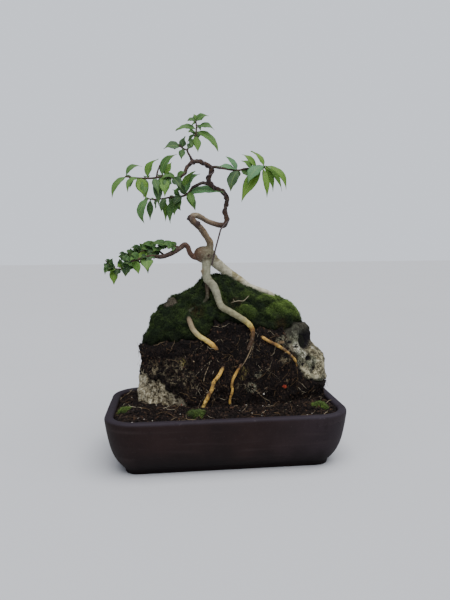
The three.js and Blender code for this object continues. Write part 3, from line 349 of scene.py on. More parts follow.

# Sprays: seed, shortest and longest of the small leaves that a rule sets, and twigs. Each twig has its rows
# of x, y, z and radius, its pairs of small leaves, and its single leaves: share along the twig, reach in x, y
# and z, width, how far it arches up as a share of its length, and tone. The tone is partly the leaf's own
# green and partly painted light: leaves in light are given higher tones, and the highest carry a painted
# sheen.
SMALL_LEAF_ARCH = 0.12
SMALL_LEAF_BLUNTNESS = 0.4
LOOSE_LEAVES = 10
SPRAYS = {
    "upper_left_spray": (11, None, [
        ([
            (-45.6, -6, 285.5, 1.2), (-52, -7, 286, 1.2), (-57.6, -8, 287, 1.1), (-69, -10, 284.8, 1),
            (-83, -12, 284.4, 0.9), (-96, -14, 285.6, 0.7),
        ], 0, [
            (0.97, -14, -5, -21, 6.5, 0.17, 0.45), (0.98, 16, 3, 10, 5.5, 0.27, 0.4),
            (0.8, -10, -8, -15, 6.5, 0.26, 0.45), (0.83, 9, -5, -21, 12, 0.08, 0.6),
            (0.67, 11, -3, 18, 7.5, 0.22, 0.5), (0.44, 15, -4, 21, 8.5, 0.22, 0.4),
            (0.38, 7, 6, 15, 7.5, 0.1, 0.55), (0.02, 10, -6, 5, 6, 0.12, 0.4),
            (0.55, 2, -5, -28, 9, 0.06, 0.2), (0.42, 1, -10, -21, 10.5, 0.05, 0.5),
            (0.14, 8, -9, -12, 9.5, 0.1, 0.1), (0.9, -3, 13, -9, 6, 0.12, 0.35),
            (0.98, 6, 12, -4, 5.5, 0.12, 0.35), (0.74, 2, 12, -16, 7, 0.1, 0.4),
            (0.66, -5, 14, 1, 6, 0.15, 0.3), (0.5, 4, 13, 2, 6, 0.15, 0.45),
            (0.44, -4, 14, -15, 7, 0.1, 0.3), (0.28, -3, 14, -4, 6, 0.12, 0.4),
            (0.14, -4, 12, -8, 6, 0.12, 0.3), (0.04, -14, -6, -2, 7.5, 0.2, 0.4),
            (0.26, -3, -8, -15, 8, 0.1, 0.3), (0.6, 5, -7, -17, 8, 0.1, 0.3),
            (0.35, -8, -5, -12, 7, 0.1, 0.25), (0.7, -2, -7, -20, 8, 0.06, 0.4),
        ]),
        ([
            (-65.6, -9.5, 285.6, 0.9), (-64.6, -9, 291, 0.8), (-62, -8.5, 298, 0.6),
        ], 0, []),
    ]),
    "second_left_spray": (23, None, [
        ([
            (-29.6, 7.7, 278, 1.1), (-37, 10, 270.5, 1.1), (-52.7, 13, 268.6, 1), (-60, 15, 267.5, 0.9),
            (-71, 17, 266.8, 0.8), (-76, 18, 268, 0.7),
        ], 0, [
            (0.94, -5, -2, -26, 9.5, 0.24, 0.85), (0.88, -1, 5, -22, 7, 0.05, 0.35),
            (0.62, 3, -4, -24, 6, 0.12, 0.5), (0.46, 13, -6, -14, 10, 0.06, 0.25),
            (0.31, -7, -5, -29, 8, 0.14, 0.35), (0.18, 9, -6, -17, 8.5, 0.08, 0.35),
            (0.18, 10, -5, 23, 8.5, 0.22, 0.5), (0.17, 14, -9, 19, 10, 0.24, 0.9),
            (0.17, 39, -6, 1, 11, 0.09, 0.95), (0.24, -10, -9, -12, 8, 0.1, 0.15),
            (0.27, -8, -4, 6, 5, 0.1, 0.85), (0.3, -5, 14, -16, 7, 0.1, 0.35),
            (0.44, 8, 9, -4, 7, 0.12, 0.3), (0.7, -3, 14, -10, 6.5, 0.1, 0.4),
            (0.84, 4, 10, -3, 5.5, 0.12, 0.3), (0.95, -6, 10, -6, 6, 0.1, 0.4),
            (0.2, -10.5, -7, 11.5, 9, 0.08, 0.1), (0.3, -4, -6, -20, 9, 0.08, 0.4),
            (0.36, 7, -7, -13, 9, 0.08, 0.35), (0.12, 4, -8, -16, 8, 0.1, 0.45),
            (0.52, -5, -7, -15, 7.5, 0.1, 0.3), (0.33, 6, -6, 9, 7, 0.12, 0.4),
        ]),
    ]),
    "right_spray": (37, None, [
        ([
            (-2, -3.4, 296.2, 1.1), (9.8, -6, 294, 1.1), (15.9, -8, 293.2, 1), (21, -9, 294.3, 1),
            (27, -10, 294.8, 0.9), (38, -12, 293.6, 0.9), (42, -13, 297, 0.7),
        ], 0, [
            (0.29, -21, -5, 2, 6.5, 0.1, 1), (0.29, -11, 3, 14, 6.5, 0.1, 1),
            (0.34, -9, -6, -22, 12, 0.12, 0.12), (0.38, 12, -3, -9, 7.5, 0.1, 0.4),
            (1, -19, -9, -20, 12.5, 0.16, 1), (0.88, -22, -6, -34, 12, 0.07, 0.68),
            (0.9, 3, -7, -30, 7, 0.08, 0.66), (0.94, 10, 3, -24, 6.5, 0.12, 0.55),
            (1, 20, -6, -25, 7, 0.2, 0.62), (1, 18, 4, -25, 6, 0.12, 0.5), (0.95, -13, 4, 16, 6, 0.14, 0.6),
            (0.76, -14, 3, 15, 6, 0.12, 0.55), (0.71, -12, -4, 7, 6.5, 0.1, 0.45),
            (0.3, 2, 14, -8, 7, 0.1, 0.3), (0.48, 5, 12, -5, 6, 0.12, 0.4), (0.7, 2, 15, -12, 7, 0.1, 0.5),
            (0.95, 12, 10, -14, 7, 0.12, 0.6), (0.85, -8, 12, -12, 7, 0.1, 0.4),
            (0.62, 6, -6, -10, 8, 0.1, 0.35),
        ]),
    ]),
    "apex_spray": (41, None, [
        ([
            (-31.6, 0, 307, 1.1), (-34.6, 1, 314.4, 1), (-29.2, 2, 320.6, 1), (-26.2, 3, 329, 0.9),
            (-25, 3, 337, 0.8), (-25.6, 3, 344, 0.7),
        ], 0, [
            (0.96, 13, -3, 5, 7.5, 0.16, 0.4), (0.78, 18, -5, -3, 7.5, 0.2, 0.35),
            (0.7, 22, -5, -21, 10, 0.14, 0.45), (0.6, 2, -5, -18, 8, 0.06, 0.5),
            (0.75, -21, -5, -3, 8.5, 0.14, 0.4), (0.67, -8, -9, -2, 5, 0.1, 0.3),
            (0.52, -4, -5, -10, 7, 0.05, 0.35), (1, -7, 3, 1, 5, 0.1, 0.3), (1, -2, 2, 6.4, 4.5, 0.1, 0.45),
            (0.7, 4, 14, -7, 6.5, 0.12, 0.4), (0.86, 5, 12, -3, 6, 0.12, 0.4), (0.5, 4, 11, -3, 5, 0.1, 0.3),
            (0.97, -9, -4, -1, 5.5, 0.15, 0.3), (0.62, -8, -5, 2, 5, 0.15, 0.3),
            (0.4, -5, -5, -7, 6.5, 0.1, 0.15), (0.6, -8, 11, -5, 6, 0.1, 0.4),
            (0.92, -4, 10, -1, 5, 0.12, 0.5),
        ]),
        ([
            (-34.5, 1, 314, 0.8), (-39, 0, 315.6, 0.8), (-43, -2, 318.4, 0.7),
        ], 0, [
            (0.69, -18, -4, -3, 10, 0.13, 0.22), (0.55, 3, -3, 11, 7.5, 0.1, 0.2),
            (0.49, -2, -4, -12, 6.5, 0.06, 0.3), (0.9, -5, 10, -2, 5.5, 0.12, 0.4),
        ]),
    ]),
    "low_left_outer_spray": (54, (8, 12), [
        ([
            (-70.6, -9.9, 209, 1.2), (-80, -11, 204.6, 1.1), (-90, -12, 199.6, 1), (-102, -12, 196, 0.9),
            (-111, -12, 197, 0.7),
        ], 4, [
            (0.97, 1, -6, -16, 8, 0.06, 0.62), (0.82, -2, -5, -7, 7, 0.1, 0.15),
            (0.73, -2, -7, 10, 7.5, 0.1, 0.25), (0.62, -2, -6, -9, 7.5, 0.1, 0.1),
            (0.58, -6, -9, 2, 8, 0.1, 0.35), (0.52, -3, -5, 13, 8, 0.1, 0.15),
        ]),
        ([
            (-108, -12, 196.6, 0.7), (-113, -13, 200, 0.7), (-117, -13, 205, 0.6),
        ], 0, [
            (0.68, -3, -2, -11, 4, 0.1, 0.3), (0.64, -3, -4, -4, 6, 0.1, 0.2),
            (0.6, -2, -5, 5, 5.5, 0.1, 0.2), (0.36, 2, -3, 8, 5, 0.1, 0.25),
            (0.21, -3, -8, 4, 6.5, 0.1, 0.2),
        ]),
    ]),
    "low_left_back_spray": (67, (9, 13), [
        ([
            (-60, -7.6, 209.6, 1.1), (-66, 1, 213.5, 1.1), (-79, 9, 213, 1), (-92, 13, 210, 0.8),
            (-101, 14, 206, 0.7),
        ], 5, [
            (0.82, 0, -1, 8, 7, 0.1, 0.3), (0.68, -2, -2, 10, 7.5, 0.1, 0.35), (1, -6, -3, 2, 7, 0.1, 0.2),
            (0.54, -4, -2, 9, 8, 0.1, 0.3),
        ]),
    ]),
    "low_left_front_spray": (71, (8, 12), [
        ([
            (-65, -10.6, 207.6, 1.1), (-72, -19, 209, 1.1), (-84, -26, 206, 1), (-97, -29, 202, 0.8),
        ], 4, [
            (0.77, 4, -4, -13, 7.5, 0.06, 0.5), (0.59, 6, -3, -15, 5.5, 0.12, 0.1),
            (0.54, 7, -4, -7, 5.5, 0.14, 0.1), (0.95, 0, -4, -12, 6, 0.1, 0.1),
            (0.84, -5, -5, 1, 7.5, 0.1, 0.25), (0.67, -7, -5, 5, 8, 0.1, 0.3),
            (0.46, 1, -11, -13, 12, 0.08, 0.76),
        ]),
    ]),
    "low_left_top_spray": (83, (8, 12), [
        ([
            (-44.6, -5.6, 217.4, 1), (-52, -5, 218.4, 1), (-62, -4, 217.4, 0.9), (-74, -3, 215.6, 0.8),
            (-86, -3, 212, 0.7),
        ], 2, [
            (0.88, 2, -10, -15, 14, 0.05, 0.7), (0.75, -8, -8, 0, 9, 0.12, 0.35),
            (0.81, -1, -3, 8, 8, 0.1, 0.4), (0.68, -3, -4, 7, 8.5, 0.12, 0.4),
            (0.58, -4, -8, -4, 9, 0.1, 0.35), (0.51, -2, -4, 6, 8, 0.12, 0.4),
            (0.44, -4, -7, -4, 8, 0.1, 0.25), (0.36, -2, -3, 6, 7, 0.12, 0.35),
            (0.25, -3, -5, -3, 6.5, 0.1, 0.3), (0.29, 5, -3, 4, 4.5, 0.12, 0.35),
            (0.36, -15, -7, 3, 9, 0.12, 0.3), (0.14, -13, -6, 1, 7, 0.15, 0.36),
            (0.62, -13, -6, 4, 9.5, 0.12, 0.3), (0.11, -4, 2, 5, 4.5, 0.1, 0.3),
        ]),
    ]),
}


# Node trees written as expressions

class Signal:
    """One output of a node. Arithmetic on it adds Math nodes."""

    def __init__(self, sheet, socket):
        self.sheet = sheet
        self.socket = socket

    def out(self, name):
        """Another output of the same node."""
        outputs = self.socket.node.outputs
        return Signal(self.sheet, next(s for s in outputs if s.enabled and s.name == name))

    def __add__(self, other):
        return self.sheet.math("ADD", self, other)

    def __radd__(self, other):
        return self.sheet.math("ADD", other, self)

    def __sub__(self, other):
        return self.sheet.math("SUBTRACT", self, other)

    def __rsub__(self, other):
        return self.sheet.math("SUBTRACT", other, self)

    def __mul__(self, other):
        return self.sheet.math("MULTIPLY", self, other)

    def __rmul__(self, other):
        return self.sheet.math("MULTIPLY", other, self)


class Sheet:
    """A node tree: every node is one call, with its settings and what feeds its sockets."""

    def __init__(self, tree):
        self.tree = tree

    def node(self, kind, settings=None, *values, **named):
        made = self.tree.nodes.new(kind)
        for key, value in (settings or {}).items():
            if key == "stops":
                ramp = made.color_ramp.elements
                while len(ramp) < len(value):
                    ramp.new(0.5)
                for element, (position, colour) in zip(ramp, value):
                    element.position = position
                    element.color = colour
            else:
                setattr(made, key, value)
        inputs = [socket for socket in made.inputs if socket.enabled]
        feeds = list(zip(inputs, values))
        for key, value in named.items():
            title = key.replace("_", " ")
            feeds.append((next(s for s in inputs if s.name == title), value))
        for socket, value in feeds:
            if isinstance(value, Signal):
                self.tree.links.new(value.socket, socket)
            elif value is not None:
                socket.default_value = value
        outputs = [socket for socket in made.outputs if socket.enabled]
        return Signal(self, outputs[0]) if outputs else made

    def math(self, operation, *values):
        return self.node("ShaderNodeMath", {"operation": operation}, *values)


def srgb(red, green, blue):
    """Linear colour of the 0 to 255 values seen in daylight."""
    shares = [value / 255 for value in (red, green, blue)]
    return (*[s / 12.92 if s <= 0.04045 else ((s + 0.055) / 1.055) ** 2.4 for s in shares], 1.0)


class Finish(Sheet):
    """A surface finish: patterns follow the object's own coordinates, in millimetres."""

    def __init__(self, name):
        self.material = bpy.data.materials.new(name)
        self.material.use_nodes = True
        super().__init__(self.material.node_tree)
        self.tree.nodes.clear()
        self.colour = None
        self.place = self.node("ShaderNodeTexCoord").out("Object")

    def stretched(self, x, y, z):
        """The object's coordinates, drawn out by a factor along each axis."""
        return self.node("ShaderNodeMapping", {}, self.place, Scale=(1 / x, 1 / y, 1 / z))

    def grain(self, size, detail=3.0, roughness=0.55, place=None):
        """Cloudy noise from 0 to 1 with features of the given size."""
        return self.node(
            "ShaderNodeTexNoise", {}, place or self.place,
            Scale=1 / (size * MM), Detail=detail, Roughness=roughness,
        )

    def patches(self, low, high, *grain, **place):
        """1 where cloudy noise is above the high value, falling to 0 at the low one."""
        return self.band(self.grain(*grain, **place), low, high)

    def cells(self, size):
        """Distance from the middles of cells of the given size."""
        return self.node("ShaderNodeTexVoronoi", {}, self.place, Scale=1 / (size * MM))

    def axis(self, name):
        return self.node("ShaderNodeSeparateXYZ", {}, self.place).out(name) * (1 / MM)

    def band(self, value, low, high):
        """0 below the low value, 1 above the high one, smooth between."""
        settings = {"interpolation_type": "SMOOTHSTEP"}
        return self.node("ShaderNodeMapRange", settings, value, low, high, 0.0, 1.0)

    def near(self, spots, soft=0.5):
        """1 at the given places on the object, falling to 0 at their reach."""
        total = None
        for x, y, z, reach in spots:
            middle = (x * MM, y * MM, z * MM)
            away = self.node("ShaderNodeVectorMath", {"operation": "DISTANCE"}, self.place, middle)
            share = 1 - self.band(away.out("Value"), reach * soft * MM, reach * MM)
            total = share if total is None else self.math("MAXIMUM", total, share)
        return total

    def blend(self, share, first, second, mode="MIX"):
        """From the first colour to the second, each a signal or red, green and blue from 0 to 255."""
        settings = {"data_type": "RGBA", "blend_type": mode}
        ends = [srgb(*end) if isinstance(end, tuple) else end for end in (first, second)]
        return self.node("ShaderNodeMix", settings, Factor=share, A=ends[0], B=ends[1])

    def ramp(self, value, *stops):
        """Colours along a value; each stop is its place, then red, green and blue from 0 to 255."""
        stops = [(place, srgb(*colour)) for place, *colour in stops]
        return self.node("ShaderNodeValToRGB", {"stops": stops}, value)

    def carried(self, name, output="Fac"):
        """A value that the mesh's points carry."""
        return self.node("ShaderNodeAttribute", {"attribute_name": name}).out(output)

    def coat(self, share, colour, mode="MIX"):
        """Lays one more colour over the finish, as far as the share says."""
        self.colour = self.blend(share, self.colour, colour, mode)

    def surface(self, roughness, relief=None, depth=0.0, shine=0.5, **constants):
        """The shader itself in the finish's colour, with a fine relief of the given depth."""
        if relief is not None:
            bump = self.node("ShaderNodeBump", {}, Strength=1.0, Distance=depth * MM, Height=relief)
            constants["Normal"] = bump
        shader = self.node(
            "ShaderNodeBsdfPrincipled", {}, Base_Color=self.colour, Roughness=roughness,
            Specular_IOR_Level=shine, **constants,
        )
        self.node("ShaderNodeOutputMaterial", {}, Surface=shader)
        return self.material


# Finishes

def clay_finish():
    """Unglazed near black brown stoneware, paler and dusty on its rim where painted skylight falls on its
    top, with a painted bluish sheen towards the right and painted shade towards the foot.
    """
    f = Finish("unglazed_clay")
    height = f.axis("Z")
    mottle = f.grain(46, 4)
    wiped = f.grain(5, 3, place=f.stretched(14, 14, 1))
    speck = f.grain(0.9, 2)
    f.colour = f.ramp(mottle, (0.3, 22, 13, 13), (0.7, 43, 30, 29))
    # Painted sheen: a bluish reflection of the sky laid over the pot's right side.
    right = f.band(f.axis("X") + (mottle - 0.5) * 60, 20, 120)
    f.coat(right * 0.55, (52, 46, 53))
    f.coat(f.band(wiped, 0.5, 0.8) * 0.3, (66, 56, 56))
    f.coat(f.band(speck, 0.6, 0.8) * 0.4, (78, 70, 73))
    # Painted light: the rim is paler where skylight falls on its top; the same rim band also holds the real
    # dust below.
    rim = f.band(height + (mottle - 0.5) * 4, 52.8, 55.6)
    f.coat(rim * 0.65, (50, 46, 56))
    # Painted shade: the pot darkens towards its foot, where its underside curves away from the light.
    painted_foot_shade = (1 - f.band(height + (f.grain(22, 3) - 0.5) * 26, 4.0, 28.0)) * 0.9
    f.coat(painted_foot_shade, (15, 8, 9))
    grime = f.patches(0.56, 0.72, 12, 5, 0.65) * 0.4
    f.coat(grime, (28, 21, 22))
    dust = f.patches(0.62, 0.78, 3.5, 4, 0.7) * rim
    f.coat(dust * 0.4, (128, 122, 122))
    relief = f.grain(0.7, 3, 0.6) + wiped * 0.6
    return f.surface(0.55 + mottle * 0.25, relief, 0.16, shine=0.14)


def rock_finish():
    """Pale porous stone, with grey green and yellowish lichen down its right side, and painted shade in its
    pits, crevices and holes.
    """
    f = Finish("porous_rock")
    broad = f.grain(24, 5, 0.6)
    medium = f.grain(6, 5, 0.65)
    fine = f.grain(1.6, 4, 0.65)
    left_to_right = f.axis("X")
    height = f.axis("Z")
    f.colour = f.ramp(medium, (0.32, 56, 49, 40), (0.5, 120, 112, 95), (0.72, 170, 162, 142))
    lumps = f.grain(4.2, 5, 0.7)
    coral = f.ramp(
        lumps * 0.8 + broad * 0.2 + (fine - 0.5) * 0.6,
        (0.35, 44, 37, 28), (0.44, 110, 100, 78), (0.54, 170, 161, 134), (0.68, 228, 221, 198),
    )
    low_left = (1 - f.band(left_to_right, -62, -44)) * (1 - f.band(height, 92, 100))
    f.coat(low_left, coral)
    right = f.band(left_to_right, 20, 64)
    grey_green = f.ramp(
        broad * 0.5 + lumps * 0.5 + (fine - 0.5) * 0.3,
        (0.35, 30, 30, 23), (0.46, 74, 77, 62), (0.57, 118, 120, 102), (0.68, 190, 188, 168),
    )
    f.coat(right * f.band(broad, 0.34, 0.5), grey_green)
    yellow = f.ramp(
        lumps * 0.6 + broad * 0.4 + (fine - 0.5) * 0.3,
        (0.37, 48, 42, 31), (0.48, 110, 103, 79), (0.63, 204, 196, 164),
    )
    outer = f.band(left_to_right + (broad - 0.5) * 30 - (height - 110) * 0.5, 76, 92)
    f.coat(right * outer * f.patches(0.36, 0.52, 14, 4, 0.6) * 0.85, yellow)
    # Painted shade in the pits of the stone; the dark patches laid in the same coat are the stone's own
    # colour.
    shaded_pits = 1 - f.band(f.cells(4.4), 0.06, 0.3)
    dark = f.patches(0.55, 0.62, 5.5, 5, 0.72)
    f.coat(f.math("MAXIMUM", shaded_pits * 0.6, dark * 0.8), (34, 28, 22))
    # Painted shade: thin dark lines for the shade in the stone's crevices, strongest on the right.
    crevice_shade = 1 - f.band(f.math("ABSOLUTE", f.grain(12, 4, 0.62) - 0.5), 0.004, 0.03)
    f.coat(crevice_shade * (0.25 + right * 0.5), (36, 31, 24))
    crust = f.near(ROCK_CRUST, 0.45) * f.patches(0.48, 0.56, 2.4, 5, 0.72)
    f.coat(crust * 0.8, f.ramp(fine, (0.35, 146, 145, 128), (0.6, 222, 219, 202)))
    # Painted shade: near black inside the holes of the rock.
    f.coat(f.carried("hollow"), f.blend(fine, (6, 5, 7), (22, 17, 22)))
    topmost = f.near(TOP_STONE, 0.6) * (0.45 + f.band(fine, 0.4, 0.6) * 0.4)
    f.coat(topmost, (48, 43, 35))
    soiled = f.carried("soiled")
    f.coat(soiled * f.band(medium + soiled * 0.3, 0.4, 0.6), (26, 20, 17))
    shaded = right * f.band(height + (broad - 0.5) * 10, 123, 129)
    f.coat(shaded * 0.7, (34, 32, 27))
    relief = fine * 0.8 + medium * 1.2 - shaded_pits * 0.6
    return f.surface(0.93, relief, 1.3, shine=0.25)


def peat_finish():
    """Nearly black fibrous peat, with stony and lichen grown places low down."""
    f = Finish("dark_peat")
    clods = f.grain(7, 5, 0.65)
    fine = f.grain(1.3, 4, 0.7)
    f.colour = f.ramp(clods, (0.3, 9, 7, 8), (0.55, 21, 15, 15), (0.75, 42, 32, 28))
    fibres = f.patches(0.58, 0.7, 1.1, 3, 0.6, place=f.stretched(1, 1, 6))
    f.coat(fibres * 0.45, (84, 70, 54))
    f.coat(f.band(fine, 0.64, 0.74) * 0.6, (92, 78, 62))
    # Painted shade: the peat darkens upwards towards the moss, under its overhang.
    moss_overhang_shade = f.band(f.axis("Z") + f.axis("X") * 0.1 + (clods - 0.5) * 40, 104, 116)
    f.coat(moss_overhang_shade * 0.6, (14, 11, 11))
    dirt = f.near(STONY_PLACES, 0.3) * f.patches(0.49, 0.58, 4.4, 5, 0.72)
    f.coat(dirt * 0.8, f.ramp(fine, (0.35, 66, 56, 42), (0.65, 168, 156, 126)))
    lichen = f.near(LICHEN_PLACES, 0.55) * (1 - f.near(LICHEN_HEARTS, 0.5)) * f.band(fine, 0.4, 0.52)
    f.coat(lichen * 0.75, (142, 140, 118))
    mossy = f.near(YELLOW_PLACES, 0.4) * f.patches(0.46, 0.6, 1.2, 3, 0.6, place=f.stretched(1, 1, 5))
    f.coat(mossy * 0.8, (138, 128, 74))
    return f.surface(0.95, fine + clods * 1.4, 1.1, shine=0.2)


def moss_colour(f, share):
    """Green of the moss from its dark foot to its bright tips, with painted light brightest on top of its
    cushions and painted shade near its lower edge.
    """
    patch = f.grain(9, 4, 0.6)
    glow = f.carried("glow")
    # Painted light: the moss turns brighter where the painted light on its cushions says, and in scattered
    # patches.
    sunny = f.math("MINIMUM", glow + f.band(patch, 0.44, 0.6) * (0.26 + glow * 0.4), 1.0)
    dark = f.blend(share, (11, 16, 12), (52, 70, 41))
    light = f.blend(share, (27, 41, 19), (124, 154, 72))
    green = f.blend(sunny, dark, light)
    # Painted shade near the moss's lower edge.
    gloom = f.carried("gloom")
    green = f.blend(gloom * 0.55, green, f.blend(share, (9, 10, 8), (40, 44, 28)))
    brown = f.near(BROWN_MOSS, 0.3) * f.patches(0.38, 0.52, 4, 4)
    return f.blend(brown * 0.85, green, f.blend(share, (26, 21, 13), (86, 73, 44)))


def moss_mat_finish():
    f = Finish("moss_mat")
    tufts = f.grain(1.5, 4, 0.7)
    f.colour = moss_colour(f, f.band(tufts, 0.35, 0.8) * 0.6)
    return f.surface(0.95, tufts + f.grain(4, 3), 1.2, shine=0.2)


def moss_shoot_finish():
    f = Finish("moss_shoots")
    share = f.carried("rise")
    tint = f.carried("tint")
    f.colour = moss_colour(f, share * (0.6 + tint * 0.5))
    return f.surface(0.8, shine=0.2)


def bark_finish():
    """Smooth pale bark, its colours carried by each root and branch, with painted shade on its undersides and
    on the lump.
    """
    f = Finish("bark")
    base = f.carried("bark", "Color")
    rough = f.carried("roughness")
    blotch = f.grain(5, 4, 0.6)
    f.colour = f.blend(f.band(blotch, 0.42, 0.66) * 0.4, base, (132, 124, 106), "MULTIPLY")
    flecks = f.patches(0.58, 0.74, 1.2, 3, 0.6)
    f.coat(flecks * 0.45, (112, 96, 76), "MULTIPLY")
    breaks = f.band(f.grain(3.2, 4, 0.7) + rough * 0.1, 0.56, 0.64)
    f.coat(breaks * f.math("MINIMUM", rough * 1.6, 0.85), (72, 50, 33))
    pale = f.patches(0.56, 0.72, 2.4, 4)
    f.coat(pale * 0.22, (186, 182, 162))
    relief = f.grain(1.0, 4, 0.6) + blotch + f.grain(2.2, 3) * rough * 2
    return f.surface(0.62 + rough * 0.2, relief, 0.32, shine=0.35)


def wire_finish():
    f = Finish("training_wire_brown")
    worn = f.patches(0.5, 0.72, 1.6, 3)
    f.colour = f.blend(worn * 0.6, (66, 52, 51), (112, 98, 94))
    return f.surface(0.45 + worn * 0.15, f.grain(0.6, 2), 0.05, Metallic=0.3)


def leaf_finish():
    """Fresh leaves with a pale rib, fine side veins and paler undersides."""
    f = Finish("jasmine_leaf")
    parts = f.node("ShaderNodeSeparateXYZ", {}, f.carried("leaf", "Vector"))
    share = parts.out("X")
    across = f.math("ABSOLUTE", parts.out("Y"))
    tone_and_painted_light = parts.out("Z")
    under = f.carried("under")
    # The tone ramp gives the leaves' own greens with painted light: higher tones for leaves in light, up to a
    # pale bluish painted sheen.
    f.colour = f.ramp(
        tone_and_painted_light, (0.0, 36, 60, 38), (0.2, 57, 88, 50), (0.4, 72, 112, 52),
        (0.55, 98, 140, 46), (0.68, 96, 134, 38), (0.8, 90, 128, 66), (1.0, 88, 136, 94),
    )
    patch = f.grain(7, 3)
    f.coat(patch * 0.35, (40, 68, 30))
    f.coat(f.band(share, 0.6, 1.0) * 0.2, (118, 132, 44))
    rib = 1 - f.band(across, 0.03, 0.12)
    place = f.math("FRACT", share * 10 - across * 1.5)
    vein = (1 - f.band(f.math("ABSOLUTE", place - 0.5), 0.03, 0.13)) * f.band(across, 0.05, 0.2)
    f.coat(f.math("MAXIMUM", rib * 0.3, vein * 0.1), (140, 166, 84))
    f.coat(under * 0.4, (112, 138, 88))
    relief = (vein + rib) * -1.0 + f.grain(1.2, 2) * 0.4
    return f.surface(
        0.5 + patch * 0.15, relief, 0.12, shine=0.35,
        Subsurface_Weight=0.12, Subsurface_Radius=(0.5, 1.0, 0.25), Subsurface_Scale=0.0012,
    )


def twig_finish():
    f = Finish("young_twig")
    marks = f.grain(1.4, 4, 0.6)
    f.colour = f.ramp(marks, (0.35, 44, 32, 29), (0.7, 92, 72, 56))
    return f.surface(0.75, marks, 0.25, shine=0.3)


def soil_finish():
    f = Finish("damp_soil")
    clods = f.grain(5, 5, 0.65)
    fine = f.grain(1.1, 4, 0.7)
    f.colour = f.ramp(clods, (0.32, 14, 11, 10), (0.55, 30, 23, 20), (0.78, 54, 42, 33))
    f.coat(f.band(fine, 0.6, 0.75) * 0.45, (70, 56, 44))
    return f.surface(0.92, fine + clods, 1.0, shine=0.2)


def tinted_finish(name, roughness, mottle, relief, shine, dark, *stops):
    """Small bodies with a tint each. Mottle is its size and share; relief is its size, detail and depth."""
    f = Finish(name)
    f.colour = f.ramp(f.carried("tint"), *stops)
    f.coat(f.grain(mottle[0], 3) * mottle[1], dark)
    return f.surface(roughness, f.grain(*relief[:2]), relief[2], shine=shine)


def crumb_finish():
    return tinted_finish(
        "soil_crumbs", 0.9, (0.8, 0.5), (0.7, 3, 0.3), 0.2, (18, 15, 14),
        (0.0, 10, 7, 8), (0.5, 23, 16, 16), (0.8, 46, 35, 31), (0.94, 72, 57, 46), (1.0, 92, 66, 50),
    )


def fibre_finish():
    """Rootlets and straw, from dark brown to pale straw."""
    return tinted_finish(
        "rootlets", 0.8, (2.2, 0.4), (0.8, 2, 0.12), 0.25, (42, 31, 24),
        (0.0, 20, 15, 13), (0.55, 38, 27, 23), (0.78, 66, 50, 38), (0.9, 124, 100, 68), (1.0, 206, 196, 170),
    )


def plain_finish(name, dark, light, roughness):
    f = Finish(name)
    f.colour = f.blend(f.patches(0.35, 0.7, 1.4, 4, 0.6), dark, light)
    return f.surface(roughness, f.grain(0.9, 3), 0.2, shine=0.25)


# Meshes

def with_settings(thing, **settings):
    for key, value in settings.items():
        setattr(thing, key, value)
    return thing


def fractal(points, size, octaves=3, seed=0):
    """Cloudy noise at each point, about -1 to 1, with features of the given size."""
    shift = Vector((seed * 13.7, seed * 7.1, seed * 3.3))
    return np.array([noise.fractal(Vector(p) / size + shift, 1.0, 2.0, octaves) for p in points])


def cell_distance(points, size, seed=0):
    """Distance to the nearest cell's middle, as a share of the cells' size."""
    shift = Vector((seed * 5.3, seed * 9.7, seed * 2.9))
    return np.array([noise.voronoi(Vector(p) / size + shift)[0][0] for p in points])


def unit(vectors):
    lengths = np.linalg.norm(vectors, axis=-1, keepdims=True)
    return vectors / np.maximum(lengths, 1e-9)


def skin_faces(levels, sides):
    """Faces through rings of equal length, then fans to a first and a last point."""
    faces = []
    for row in range(0, (levels - 1) * sides, sides):
        for i in range(sides):
            a, b = row + i, row + (i + 1) % sides
            faces.append((a, b, b + sides, a + sides))
    start, top = levels * sides, (levels - 1) * sides
    for i in range(sides):
        following = (i + 1) % sides
        faces.append((start, following, i))
        faces.append((start + 1, top + i, top + following))
    return faces


def make_mesh(name, vertices, faces, finishes):
    mesh = bpy.data.meshes.new(name)
    mesh.from_pydata((np.asarray(vertices) * MM).tolist(), [], faces)
    for finish in finishes:
        mesh.materials.append(finish)
    mesh.shade_smooth()
    return mesh


def add_values(mesh, name, values, kind="FLOAT"):
    """Gives every vertex a value of its own, for the finishes and the scattering."""
    field = {"FLOAT": "value", "FLOAT_VECTOR": "vector", "FLOAT_COLOR": "color"}[kind]
    layer = mesh.attributes.new(name, kind, "POINT")
    layer.data.foreach_set(field, np.asarray(values, dtype=np.float32).ravel())


def show(name, data):
    thing = bpy.data.objects.new(name, data)
    bpy.context.scene.collection.objects.link(thing)
    return thing


def settle(thing, slot, *nodes):
    """The piece rides on the whole body and stands for the nodes; its slot is not used."""
    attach(thing, "root")
    if nodes:
        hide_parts(*nodes)


def evaluated(thing):
    """The thing's mesh with its modifiers worked in."""
    graph = bpy.context.evaluated_depsgraph_get()
    source = thing.evaluated_get(graph)
    mesh = bpy.data.meshes.new_from_object(source, preserve_all_data_layers=True, depsgraph=graph)
    thing.modifiers.clear()
    thing.data = mesh
    return mesh


def worked(thing, kind, **settings):
    """The thing's mesh after one modifier."""
    with_settings(thing.modifiers.new(kind.lower(), kind), **settings)
    return evaluated(thing)


# Smooth routes and the tubes along them

STRETCH_STEPS = 24


